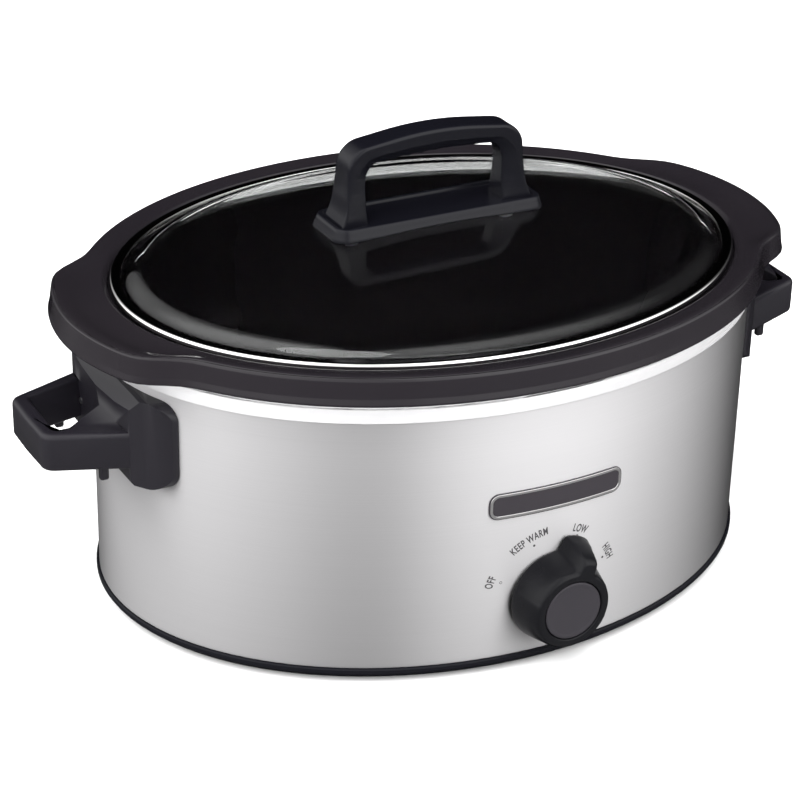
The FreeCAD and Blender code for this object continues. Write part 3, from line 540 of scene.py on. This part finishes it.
def make_wrap():
    """Brushed steel wrap, whose top edge hides under the bright ring."""
    top = RING_TOP - 4
    sheet, edge = 0.6, 0.2
    wrap = oval_tube("steel_wrap", [(0, WRAP_LOW, edge), (0, top, edge), (-sheet, top, edge),
                                    (-sheet, WRAP_LOW, edge)], WRAP_STEEL, "housing", 2)
    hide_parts("outer_wrap")


def wall_offset(z):
    """Offset of the crock's outside wall at height z, as the heating well follows it."""
    foot = CROCK_LOW + 17
    foot_offset, skirt_offset = -25.5, -11.0
    return foot_offset + (z - foot) / (SKIRT_LOW - foot) * (skirt_offset - foot_offset)


def make_well():
    """Heating well with its bright rolled rim."""
    lip = RING_TOP - 11.1
    neck = RING_TOP - 3
    belly = RING_TOP - 5.5
    top_in = wall_offset(neck) + WELL_GAP
    foot_in = wall_offset(20) + WELL_GAP
    side = rounded([(-60, WELL_FLOOR + WELL_SHEET, 0), (foot_in, WELL_FLOOR + WELL_SHEET, 20),
                    (top_in, neck, 0)], steps=10)
    outer = rounded([(top_in + WELL_SHEET, neck, 0), (foot_in + WELL_SHEET, WELL_FLOOR, 20.5),
                     (-60, WELL_FLOOR, 0)], steps=10)
    rim = rounded([(top_in, neck, 0), (-7.6, RING_TOP, 2.4), (RING_BULGE - 0.6, RING_TOP, 2.6),
                   (RING_BULGE + 0.5, belly, 9.0), (RING_BULGE - 0.8, lip + 0.2, 0.5),
                   (RING_BULGE - 1.4, lip + 0.5, 0.2), (RING_BULGE - 0.6, belly, 6.0),
                   (RING_BULGE - 1.2, RING_TOP - 0.9, 1.6), (-7.0, RING_TOP - 0.9, 1.6),
                   (top_in + WELL_SHEET, neck, 0)], steps=6)
    path = side + rim[1:-1] + outer
    rows = [(p.x, p.y) for p in path]
    well = oval_bowl("heating_well_pan", rows, RING_STEEL, "housing")
    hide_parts("heating_well")


# ---- Crock ----


def make_crock():
    """Glazed crock with its rim, lid ledge and two dished lugs."""
    lug = LUG_TIP - WRAP_A - (SKIRT_OUT - LUG_EXTRA)
    ledge = LID_LOW - 0.5
    inner_low = wall_offset(40) - 7
    floor = CROCK_LOW + 7
    # offset, height, corner radius, share of the lug, dip in the lug
    corners = [
        (-75, floor, 0, 0, 0), (inner_low + 0.5, floor, 18, 0, 0), (-18.2, ledge - 3.0, 8, 0, 0),
        (-17.0, ledge, 1.5, 0, 0), (-9.4, ledge, 0.8, 0, 0), (-9.0, RIM_TOP - 3.6, 1.2, 0, 0),
        (-6.6, RIM_TOP - 1.6, 2.2, 0.02, 0), (-1.0, RIM_TOP - 0.6, 4.0, 0.45, 2.2),
        (2.6, RIM_TOP, 4.0, 0.9, 0.6), (4.9, RIM_TOP - 1.6, 2.2, 1.0, 0),
        (6.2, SKIRT_LOW + 4.0, 6.0, 1.0, 0), (SKIRT_OUT, SKIRT_LOW + 1.0, 0.7, 1.0, 0),
        (6.6, SKIRT_LOW, 0.5, 1.0, 0), (5.4, SKIRT_LOW - 0.2, 0.4, 1.0, 0),
        (0.0, SKIRT_LOW + 0.4, 0.5, 0.7, 0), (-11.0, SKIRT_LOW, 2.0, 0, 0),
        (wall_offset(22), CROCK_LOW, 19, 0, 0), (-50, CROCK_LOW, 2.0, 0, 0),
        (-56, CROCK_LOW + 1.2, 2.0, 0, 0), (-80, CROCK_LOW + 1.2, 0, 0, 0)]
    flat = [Vector(c[:2]) for c in corners]
    rows = []
    for p in rounded([c[:3] for c in corners], steps=8):
        nearest = None
        for k, (here, after) in enumerate(zip(corners, corners[1:])):
            span = flat[k + 1] - flat[k]
            share = max(0.0, min(1.0, (p - flat[k]).dot(span) / span.length_squared))
            gap = (flat[k] + span * share - p).length
            if nearest is None or gap < nearest - 1e-6:
                nearest = gap
                reach = here[3] + share * (after[3] - here[3])
                dip = here[4] + share * (after[4] - here[4])
        rows.append((p.x, p.y, lug * reach, dip))
    crock = oval_bowl("glazed_crock", rows, GLAZE, "crock")
    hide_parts("stoneware_crock")


# ---- Lid ----


def dome_rows(length, width, base, crown, shoulder):
    """Rings of an oval dome with a steeper shoulder, inwards: (half length, half width, z) rows."""
    shoulder_steps, dome_steps = 8, 26
    curved = 0.35
    rows = []
    flat_l, flat_w = length - shoulder, width - shoulder
    rise = crown - base - SHOULDER_DROP
    for k in range(shoulder_steps + 1):
        share = k / shoulder_steps
        ease = share * share * (3 - 2 * share) * curved + share * (1 - curved)
        rows.append((length - shoulder * share, width - shoulder * share, base + SHOULDER_DROP * ease))
    for k in range(1, dome_steps):
        share = 1 - k / dome_steps
        rows.append((flat_l * share, flat_w * share, base + SHOULDER_DROP + rise * (1 - share * share)))
    return rows


def make_glass():
    """Glass lid: brim, shoulder and dome, one closed solid."""
    base = LID_LOW + GLASS_LIFT + GLASS_THICK
    low_base = base - GLASS_THICK
    edge = LID_EDGE - 1.0
    inner = LID_EDGE - GLASS_INSET
    round_in, round_z = 0.4, 0.6
    wall = 2.2  # the inside of the shoulder stands this far inside the outside
    length, width = WRAP_A + inner, WRAP_B + inner
    top = dome_rows(length, width, base, CROWN, SHOULDER)
    under = dome_rows(length - wall, width - wall, low_base, CROWN - GLASS_THICK, SHOULDER - 0.5)
    brim = [(WRAP_A + edge - round_in, WRAP_B + edge - round_in, base),
            (WRAP_A + edge, WRAP_B + edge, base - round_z),
            (WRAP_A + edge, WRAP_B + edge, low_base + round_z),
            (WRAP_A + edge - round_in, WRAP_B + edge - round_in, low_base)]
    rows = list(reversed(top)) + brim + under
    rings = [[(half_l * math.cos(turn), half_w * math.sin(turn), z) for turn in turns(SEGMENTS)]
             for half_l, half_w, z in rows]
    verts = [v for ring in rings for v in ring]
    faces = stitch(rings)
    for row, z in ((0, CROWN), (len(rows) - 1, CROWN - GLASS_THICK)):
        verts.append((0, 0, z))
        faces.extend(fan(row * SEGMENTS, SEGMENTS, len(verts) - 1))
    glass = make_object("glass_dome", verts, faces, [GLASS], "lid")
    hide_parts("lid_glass")


def make_lid_rim():
    """Rolled steel rim round the glass: a channel, open inwards."""
    inner = LID_EDGE - 5.6
    web = LID_EDGE - 0.9
    sheet = 0.6
    rim = oval_tube("steel_lid_rim", [
        (LID_EDGE, LID_LOW, 1.2), (LID_EDGE, LID_TOP, 1.6), (inner, LID_TOP, 0.35),
        (inner, LID_TOP - sheet, 0.2), (web, LID_TOP - sheet, 0.5), (web, LID_LOW + sheet, 0.5),
        (inner, LID_LOW + sheet, 0.2), (inner, LID_LOW, 0.35)], LID_STEEL, "lid", 4)
    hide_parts("lid_rim")


def dome_height(x, y):
    """Height of the glass's outside above a point well inside the shoulder."""
    base = LID_LOW + GLASS_LIFT + GLASS_THICK
    half_l = WRAP_A + LID_EDGE - GLASS_INSET - SHOULDER
    half_w = WRAP_B + LID_EDGE - GLASS_INSET - SHOULDER
    share = (x / half_l) ** 2 + (y / half_w) ** 2
    return base + SHOULDER_DROP + (CROWN - base - SHOULDER_DROP) * (1 - share)


def make_handle_plate():
    """Base plate of the lid handle: sloping skirt that follows the dome, raised lip, sunk platform."""
    half_x, half_y = high("handle_plate").x, high("handle_plate").y
    top = high("handle_plate").z
    end = half_y - 6
    side = half_x - 4.5
    outline = [(half_x, -end, 6), (half_x, end, 6), (side, half_y, 7), (-side, half_y, 7),
               (-half_x, end, 6), (-half_x, -end, 6), (-side, -half_y, 7), (side, -half_y, 7)]
    # depth inside the outline, height; no height means that the row lies on the glass
    rows = [(8.0, None), (2.5, None), (0.3, None), (0.0, None), (0.7, top - 4.6), (1.5, top - 2.2),
            (1.9, top - 0.9), (2.7, top), (3.7, top), (4.3, top - 0.4), (4.7, top - 1.5),
            (5.3, top - 1.8), (7.0, top - 1.8)]
    rings = []
    for depth, z in rows:
        ring = rounded(inset(outline, depth), closed=True, steps=6)
        if z is None:
            lift = 0.05 if depth > 0.2 else 0.6
            rings.append([(p.x, p.y, dome_height(p.x, p.y) + lift) for p in ring])
        else:
            rings.append([(p.x, p.y, max(z, dome_height(p.x, p.y) + 0.9)) for p in ring])
    plate = capped("handle_base_plate", rings, GRIP_BLACK, "lid")
    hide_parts("handle_plate")


def make_grip():
    """Arched grip: a faceted bar on two legs that spread towards the plate, finger ridges below."""
    foot = high("handle_plate").z - 2.0
    top = high("handle_grip").z
    ridge_end, ridge_pitch, ridge_height = 32, 7.6, 0.8
    outer = [(-54.5, foot, 0), (-50.6, foot + 10, 30), (-49.2, top - 4.6, 13), (0, top + 1.9, 290),
             (49.2, top - 4.6, 13), (50.6, foot + 10, 30), (54.5, foot, 0)]
    inner = [(-38.4, foot, 0), (-38.8, foot + 10, 30), (-38.8, top - 13.2, 9), (0, top - 10.9, 290),
             (38.8, top - 13.2, 9), (38.8, foot + 10, 30), (38.4, foot, 0)]
    outside, inside = [resample(subdivide(rounded(corners, steps=14), 2.0), corners, 150)
                       for corners in (outer, inner)]
    rings = []
    for o, i in zip(outside, inside):
        span = i - o
        thick = span.length
        along = span / thick
        drop = max(0.0, min(1.0, (top - 8 - o.y) / (top - 8 - foot)))
        half = 8.0 + 2.6 * drop ** 2.2
        narrow = 5.2 + 3.2 * drop ** 3
        band = thick * (0.58 - 0.46 * min(1.0, drop * 1.6))
        ridge = 0.0
        if abs(i.x) < ridge_end and i.y > top - 16:
            fade = 1.0 if i.x < -8 else max(0.25, 1.0 - (i.x + 8) / 16)
            wave = max(0.0, math.cos(2 * math.pi * i.x / ridge_pitch))
            ridge = ridge_height * fade * wave * min(1.0, (ridge_end - abs(i.x)) / 4)
        section = [(0, -half, 2.0), (band, -half, 1.6), (thick + ridge, -narrow, 1.6),
                   (thick + ridge, narrow, 1.6), (band, half, 1.6), (0, half, 2.0)]
        ring = []
        for p in rounded(section, closed=True, steps=4):
            point = o + along * p.x
            ring.append((point.x, p.y, point.y))
        rings.append(ring)
    grip = capped("arched_grip", rings, GRIP_BLACK, "lid")
    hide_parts("handle_grip")


def subdivide(path, step):
    """The path with extra points, so that no run is longer than the step."""
    fine = [path[0]]
    for before, after in zip(path, path[1:]):
        parts = max(1, math.ceil((after - before).length / step))
        fine.extend(before.lerp(after, k / parts) for k in range(1, parts + 1))
    return fine


def resample(path, corners, count):
    """Evenly spaced points between stations, which are the path's points nearest to the corners."""
    stations = [0]
    for x, y, _ in corners[1:-1]:
        stations.append(min(range(len(path)), key=lambda k: (path[k] - Vector((x, y))).length))
    stations.append(len(path) - 1)
    even = []
    share = count // (len(stations) - 1)
    for start, end in zip(stations, stations[1:]):
        run = path[start:end + 1]
        lengths = [0.0]
        for before, after in zip(run, run[1:]):
            lengths.append(lengths[-1] + (after - before).length)
        for k in range(share):
            want = lengths[-1] * k / share
            n = max(j for j in range(len(lengths)) if lengths[j] <= want + 1e-9)
            n = min(n, len(run) - 2)
            rest = (want - lengths[n]) / max(1e-9, lengths[n + 1] - lengths[n])
            even.append(run[n].lerp(run[n + 1], rest))
    even.append(path[-1])
    return even


# ---- Side handles ----


def prism(name, corners, low_z, high_z, axis="z"):
    """Plain closed prism on an outline, along Z or along Y, for cutting and joining."""
    count = len(corners)
    if axis == "z":
        verts = [(a, b, low_z) for a, b in corners] + [(a, b, high_z) for a, b in corners]
    else:
        verts = [(a, low_z, b) for a, b in corners] + [(a, high_z, b) for a, b in corners]
    faces = [tuple(range(count)), tuple(range(count, 2 * count))]
    faces.extend((k, (k + 1) % count, count + (k + 1) % count, count + k) for k in range(count))
    return make_object(name, verts, faces, [HANDLE_BLACK], "housing")


PAD_FACE = 182.5  # how far the front of a handle's pad stands from the middle


def make_pad(half, bottom, top):
    """The handle's pad: a bevelled, rounded plate whose back follows the wall."""
    end = [(158, half), (PAD_FACE - 17, half), (PAD_FACE - 11, half - 4), (PAD_FACE - 6.2, half - 11),
           (PAD_FACE - 2.0, half - 17), (PAD_FACE - 0.7, half - 33)]
    plan = end + [(PAD_FACE, 0)] + [(x, -y) for x, y in reversed(end)]
    pad = prism("side_handle_plus_x", plan, bottom, top)
    profile = [(150, bottom), (PAD_FACE - 3, bottom), (PAD_FACE + 1, bottom + 5),
               (PAD_FACE + 1, top - 11), (PAD_FACE - 5.5, top - 0.5), (PAD_FACE - 8, top), (150, top)]
    combine(pad, prism("cutter", profile, -half - 5, half + 5, "y"), "INTERSECT")
    front = rounded([(-half, bottom, 10), (half, bottom, 10), (half, top, 9), (-half, top, 9)],
                    closed=True, steps=8, support=0)
    block = prism("cutter", [(p.x, p.y) for p in front], 140, 200, "y")
    block.data.transform(Matrix.Rotation(math.radians(-90), 4, "Z"))
    combine(pad, block, "INTERSECT")
    wall = [(p[0], p[1]) for p in oval_ring(0.15, 0)]
    combine(pad, prism("cutter", wall, bottom - 5, top + 5), "DIFFERENCE")
    soften(pad, 1.7)
    return pad


def make_loop(reach, loop_low, loop_high):
    """The handle's loop, whose finger hole slopes from one outline below to another above."""
    root = (reach - PAD_FACE + 4) * (13.5 / 35.5)
    hilt = PAD_FACE - 3
    outer = [(PAD_FACE - 4, -23 - root, 1), (reach - 0.6, -23.2, 7), (reach, 0, 200),
             (reach - 0.6, 23.2, 7), (PAD_FACE - 4, 23 + root, 1)]
    under = [(hilt, 12, 0.5), (reach - 16.0, -16.5, 6), (reach - 9.2, -16.5, 6),
             (reach - 9.5, 18.0, 4), (hilt, 25.5, 0.5)]
    above = [(hilt, 0, 0.5), (reach - 15.5, -19.0, 6), (reach - 8.4, -19.0, 6),
             (reach - 8.6, 20.4, 4), (hilt, 29.0, 0.5)]
    outside = layers(outer, edge_rows(loop_low, loop_high, 2.8, low_radius=2.4))
    inside = []
    for depth, z in edge_rows(loop_low, loop_high, 1.5):
        share = (z - loop_low) / (loop_high - loop_low)
        between = [tuple(u + (a - u) * share for u, a in zip(*pair)) for pair in zip(under, above)]
        inside += layers(between, [(-depth, z)])
    rings = outside + list(reversed(inside))
    verts = [v for ring in rings for v in ring]
    return make_object("loop", verts, stitch(rings, closed=True), [HANDLE_BLACK], "housing")


def make_side_handles():
    """Moulded side handles: a bevelled pad on the wall, and a loop with two pegs below."""
    bottom, (reach, half, top) = low("side_handle_right").z, high("side_handle_right")
    loop_low, loop_high = bottom + 8.1, bottom + 27.9
    pad = make_pad(half, bottom, top)
    combine(pad, make_loop(reach, loop_low, loop_high), "UNION")
    back, front = 189.2, 193.8
    for y in (-30.5, 30.5):
        corners = [(back, y - 2, 1.4), (front, y - 2, 1.4), (front, y + 2, 1.4), (back, y + 2, 1.4)]
        rings = layers(corners, edge_rows(loop_low - 6, loop_low + 2, 1.2), 4)
        combine(pad, capped("peg", rings, HANDLE_BLACK, "housing"), "UNION")
    shade_smooth(pad.data)
    pad.data.set_sharp_from_angle(angle=math.radians(50))
    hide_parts("side_handle_right")
    twin = mirrored("side_handle_minus_x", pad, "housing")
    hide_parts("side_handle_left")


# ---- Control knob and badge ----


def smooth_max(a, b, k):
    """The larger of two lengths, blended over about k."""
    return 0.5 * (a + b + math.sqrt((a - b) ** 2 + k * k))


def smooth_min(a, b, k):
    """The smaller of two lengths, blended over about k."""
    return 0.5 * (a + b - math.sqrt((a - b) ** 2 + k * k))


def knob_ring(radius, reach, half_width, forward):
    """Outline of the knob at one depth: a circle with a pointer that flows out of it."""
    ring = []
    for turn in turns(160):
        away = abs(math.atan2(math.sin(turn - POINTER), math.cos(turn - POINTER)))
        fin = radius * 0.5
        if away < math.pi / 2:
            side = half_width / max(0.02, math.sin(away))
            tip = reach + 0.6 - 0.012 * math.degrees(away) ** 1.4
            fin = smooth_min(side, tip, 2.6)
        r = smooth_max(radius, fin, 4.4) - (0.7 if away < 1.2 else 0.0) * math.cos(away) ** 8
        ring.append((r * math.sin(turn), -forward, DIAL + r * math.cos(turn)))
    return ring


def disc_rings(rows, count=160):
    """Circles round the dial's axis: (radius, forward) rows."""
    return [[(radius * math.sin(turn), -forward, DIAL + radius * math.cos(turn))
             for turn in turns(count)] for radius, forward in rows]


def make_knob():
    """Control knob with its flowing pointer, and the disc sunk in its face."""
    back = -high("control_knob").y
    face = -low("control_knob").y
    # radius, reach of the pointer, half its width, depth
    skirt = [(22.6, 30.0, 6.6, back), (23.6, 31.2, 7.0, back), (24.0, 31.6, 7.2, back + 0.5),
             (24.0, 31.6, 7.2, back + 1.6), (22.9, 30.2, 6.4, back + 7.0),
             (21.6, 28.4, 5.4, back + 12.5), (20.7, 26.9, 4.7, face - 2.6),
             (20.1, 26.0, 4.3, face - 1.2), (19.3, 24.9, 3.9, face - 0.3), (18.5, 23.8, 3.4, face)]
    rings = [knob_ring(*row) for row in skirt]
    rings += disc_rings([(17.2, face), (16.3, face), (15.95, face - 0.3), (15.9, face - 1.6),
                         (15.0, face - 1.6)])
    knob = capped("control_dial", rings, KNOB_BLACK, "knob")
    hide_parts("control_knob")
    rows = [(14.2, face - 1.5), (15.2, face - 1.5), (15.35, face - 1.2), (15.35, face - 0.5),
            (15.1, face - 0.2), (14.7, face - 0.1), (13.6, face - 0.1), (13.0, face - 0.25),
            (12.4, face - 0.25), (8, face - 0.2), (3, face - 0.18)]
    cap = capped("dial_cap", disc_rings(rows, 96), CAP_GREY, "knob")
    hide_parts("knob_cap")


def make_badge():
    """Blank badge: dark edge, silver border and a charcoal face, bent to the wall."""
    half_x = high("nameplate").x
    low_z, high_z = low("nameplate").z, high("nameplate").z
    outline = [(-half_x, low_z, 5), (half_x, low_z, 5), (half_x, high_z, 5), (-half_x, high_z, 5)]
    # depth inside the outline, distance proud of the wall; then each band's material
    rows = [(0.4, 0.1), (0.0, 0.1), (0.0, 0.6), (0.45, 0.78), (0.6, 1.0), (1.7, 1.0), (1.9, 0.7),
            (2.3, 0.7)]
    looks = [0, 0, 0, 1, 1, 1, 0]
    rings = layers(outline, rows, 8)
    verts = [(x, proud, z) for ring in rings for x, z, proud in ring]
    faces = stitch(rings)
    count = len(rings[0])
    slots = [look for look in looks for _ in range(count)]
    faces += [tuple(range(count)), tuple(range(len(verts) - count, len(verts)))]
    slots += [0, 0]
    badge = make_object("blank_badge", verts, faces, [BADGE_DARK, BADGE_SILVER], "housing", slots)
    work = bmesh.new()
    work.from_mesh(badge.data)
    for x in range(-32, 33, 4):
        geometry = work.verts[:] + work.edges[:] + work.faces[:]
        bmesh.ops.bisect_plane(work, geom=geometry, plane_co=(x * MM, 0, 0), plane_no=(1, 0, 0))
    for v in work.verts:
        v.co.y = wall_y(v.co.x / MM, v.co.y / MM) * MM
    bmesh.ops.recalc_face_normals(work, faces=work.faces)
    work.to_mesh(badge.data)
    work.free()
    badge.data.set_sharp_from_angle(angle=math.radians(35))
    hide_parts("nameplate")


# ---- Dial markings ----


def wall_y(x, proud):
    """Y of the front wall at x, standing proud of it."""
    return -(WRAP_B + proud) * math.sqrt(max(0.0, 1 - (x / (WRAP_A + proud)) ** 2))


def label(name, text, angle, radius):
    """Condensed capitals round the dial, centred at an angle from the top, laid on the wall."""
    curve = bpy.data.curves.new(name, "FONT")
    curve.body = text
    curve.size = LETTER_HEIGHT / CAPITAL_SHARE
    curve.space_character = 1.12
    curve.resolution_u = 4
    curve.offset = 0.035 * LETTER_HEIGHT
    curve.align_x = "CENTER"
    ghost = new_object(name, curve)
    bpy.context.view_layer.update()
    flat = bpy.data.meshes.new_from_object(ghost)
    bpy.data.objects.remove(ghost)
    bpy.data.curves.remove(curve)
    work = bmesh.new()
    work.from_mesh(flat)
    long_edges = [e for e in work.edges if e.calc_length() > 1.2]
    bmesh.ops.subdivide_edges(work, edges=long_edges, cuts=2)
    bmesh.ops.triangulate(work, faces=work.faces)
    for v in work.verts:
        turn = math.radians(angle) + v.co.x * LETTER_SQUEEZE / radius
        r = radius - LETTER_HEIGHT / 2 + v.co.y
        x, z = r * math.sin(turn), DIAL + r * math.cos(turn)
        v.co = Vector((x, wall_y(x, PRINT_PROUD), z)) * MM
    work.to_mesh(flat)
    work.free()
    flat.materials.append(PRINT_GREY)
    thing = new_object(name, flat)
    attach(thing, "housing")


def dot(name, angle, radius, outer, inner):
    """Round printed dot, or ring when inner is over zero, on the wall."""
    count = 28
    verts = []
    a = math.radians(angle)
    middle_x, middle_z = radius * math.sin(a), DIAL + radius * math.cos(a)
    for r in (outer, max(inner, outer * 0.5)):
        for turn in turns(count):
            x = middle_x + r * math.cos(turn)
            verts.append((x, wall_y(x, PRINT_PROUD), middle_z + r * math.sin(turn)))
    faces = band(0, count, count)
    if inner <= 0:
        verts.append((middle_x, wall_y(middle_x, PRINT_PROUD), middle_z))
        faces.extend(fan(count, count, 2 * count))
    thing = make_object(name, verts, faces, [PRINT_GREY], "housing")


def make_dial():
    """Words and dots round the knob."""
    label("label_off", "OFF", -69.5, 37.0)
    label("label_keep_warm", "KEEP WARM", -24.6, 36.6)
    label("label_low", "LOW", 23.0, 35.6)
    label("label_high", "HIGH", 65.4, 35.2)
    dot("mark_off", -67.5, 31.6, 0.75, 0.5)
    dot("mark_keep_warm", -22.5, 31.8, 0.65, 0)
    dot("mark_low", 22.5, 31.4, 0.65, 0)
    dot("mark_high", 67.5, 31.0, 0.65, 0)


# ---- Setting ----


def make_floor():
    """Pale floor, part of the setting; it isn't mirrored in the steel."""
    half = 9.0
    mesh = bpy.data.meshes.new("floor")
    corners = [(-half, -half, 0), (half, -half, 0), (half, half, 0), (-half, half, 0)]
    mesh.from_pydata(corners, [], [(0, 1, 2, 3)])
    material, nodes, links, shader = new_material("floor_white")
    cloud = noise(nodes, links, 3.0, 2.0)
    links.new(tint(nodes, links, cloud.outputs["Fac"], (0.90, 0.90, 0.90), (0.92, 0.92, 0.92)),
              shader.inputs["Base Color"])
    shader.inputs["Roughness"].default_value = 0.9
    shader.inputs["Specular IOR Level"].default_value = 0.1
    mesh.materials.append(material)
    floor = new_object("floor", mesh)
    floor.visible_glossy = False


# Brightness of the surroundings by direction: 0 is straight in front, plus is to the right.
STUDIO = [(-180, 0.10), (-166, 0.28), (-142, 1.00), (-108, 1.26), (-85, 1.24), (-55, 1.00),
          (-34, 0.74), (-18, 0.58), (-2, 1.08), (14, 1.42), (38, 1.52), (62, 1.08), (84, 0.60),
          (104, 0.04), (128, 0.0), (180, 0.0)]
# Their brightness by height: (sine of the elevation, factor) below, and above.
STUDIO_BELOW, STUDIO_ABOVE = (-0.16, 0.30), (0.20, 1.95)


def make_world():
    """Studio surroundings: soft panels in front and to the left, dark behind."""
    world = bpy.data.worlds.new("studio")
    bpy.context.scene.world = world
    world.use_nodes = True
    nodes, links = world.node_tree.nodes, world.node_tree.links
    place = nodes.new("ShaderNodeTexCoord")
    split = nodes.new("ShaderNodeSeparateXYZ")
    links.new(place.outputs["Generated"], split.inputs["Vector"])
    ahead = nodes.new("ShaderNodeMath")
    ahead.operation = "MULTIPLY"
    ahead.inputs[1].default_value = -1.0
    links.new(split.outputs["Y"], ahead.inputs[0])
    compass = nodes.new("ShaderNodeMath")
    compass.operation = "ARCTAN2"
    links.new(split.outputs["X"], compass.inputs[0])
    links.new(ahead.outputs["Value"], compass.inputs[1])
    turn = nodes.new("ShaderNodeMapRange")
    turn.inputs["From Min"].default_value = -math.pi
    turn.inputs["From Max"].default_value = math.pi
    links.new(compass.outputs["Value"], turn.inputs["Value"])
    ramp = nodes.new("ShaderNodeValToRGB")
    ramp.color_ramp.interpolation = "EASE"
    stops = ramp.color_ramp.elements
    while len(stops) < len(STUDIO):
        stops.new(0.5)
    brightest = max(level for _, level in STUDIO)
    for stop, (degrees, level) in zip(stops, STUDIO):
        stop.position = degrees / 360 + 0.5
        stop.color = (level / brightest,) * 3 + (1,)
    links.new(turn.outputs["Result"], ramp.inputs["Fac"])
    background = nodes["Background"]
    links.new(ramp.outputs["Color"], background.inputs["Color"])
    height = nodes.new("ShaderNodeMapRange")
    height.interpolation_type = "SMOOTHSTEP"
    for end, (sine, factor) in (("Min", STUDIO_BELOW), ("Max", STUDIO_ABOVE)):
        height.inputs["From " + end].default_value = sine
        height.inputs["To " + end].default_value = factor * brightest
    links.new(split.outputs["Z"], height.inputs["Value"])
    links.new(height.outputs["Result"], background.inputs["Strength"])


def make_lights():
    """One broad soft sun overhead and two softboxes; none of them is mirrored in the steel."""
    sun = bpy.data.lights.new("overhead", "SUN")
    sun.energy = 3.2
    sun.angle = math.radians(55)
    holder = new_object("overhead", sun)
    holder.visible_glossy = False
    holder.rotation_euler = Vector((-0.35, -0.35, 1.0)).to_track_quat("Z", "Y").to_euler()
    for name, place, power, size in (("left_box", (-1.6, -0.9, 1.1), 14, (0.9, 1.4)),
                                     ("right_box", (1.5, -1.3, 1.2), 8, (0.8, 1.2))):
        lamp = bpy.data.lights.new(name, "AREA")
        lamp.shape = "RECTANGLE"
        lamp.size, lamp.size_y = size
        lamp.energy = power
        holder = new_object(name, lamp)
        holder.location = place
        holder.visible_glossy = False
        away = Vector(place) - Vector((0, 0, 0.1))
        holder.rotation_euler = away.to_track_quat("Z", "Y").to_euler()


# Place in metres; direction from the front and up, and roll, in degrees; focal length in mm.
CAMERA_PLACE = (-0.5615, -1.0190, 0.6698)
CAMERA_TURNS = (-28.247, 26.819, 1.33)
CAMERA_LENS = 111.24


def make_camera():
    """Camera above the left front corner, with a long lens."""
    data = bpy.data.cameras.new("camera")
    data.sensor_width = 36.0
    data.lens = CAMERA_LENS
    camera = new_object("camera", data)
    azimuth, elevation, roll = (math.radians(turn) for turn in CAMERA_TURNS)
    level = math.cos(elevation)
    back = Vector((math.sin(azimuth) * level, -math.cos(azimuth) * level, math.sin(elevation)))
    right = Vector((math.cos(azimuth), math.sin(azimuth), 0))
    up = back.cross(right)
    rolled_right = right * math.cos(roll) + up * math.sin(roll)
    rolled_up = up * math.cos(roll) - right * math.sin(roll)
    turned = Matrix((rolled_right, rolled_up, back)).transposed().to_4x4()
    camera.matrix_world = Matrix.Translation(CAMERA_PLACE) @ turned
    data.clip_start, data.clip_end = 0.05, 50
    bpy.context.scene.camera = camera


make_camera()
bpy.context.scene.view_settings.view_transform = "Standard"
make_floor()
make_world()
make_lights()
dress_cad()
make_wrap()
make_well()
make_crock()
make_glass()
make_lid_rim()
make_handle_plate()
make_grip()
make_side_handles()
make_knob()
make_badge()
make_dial()
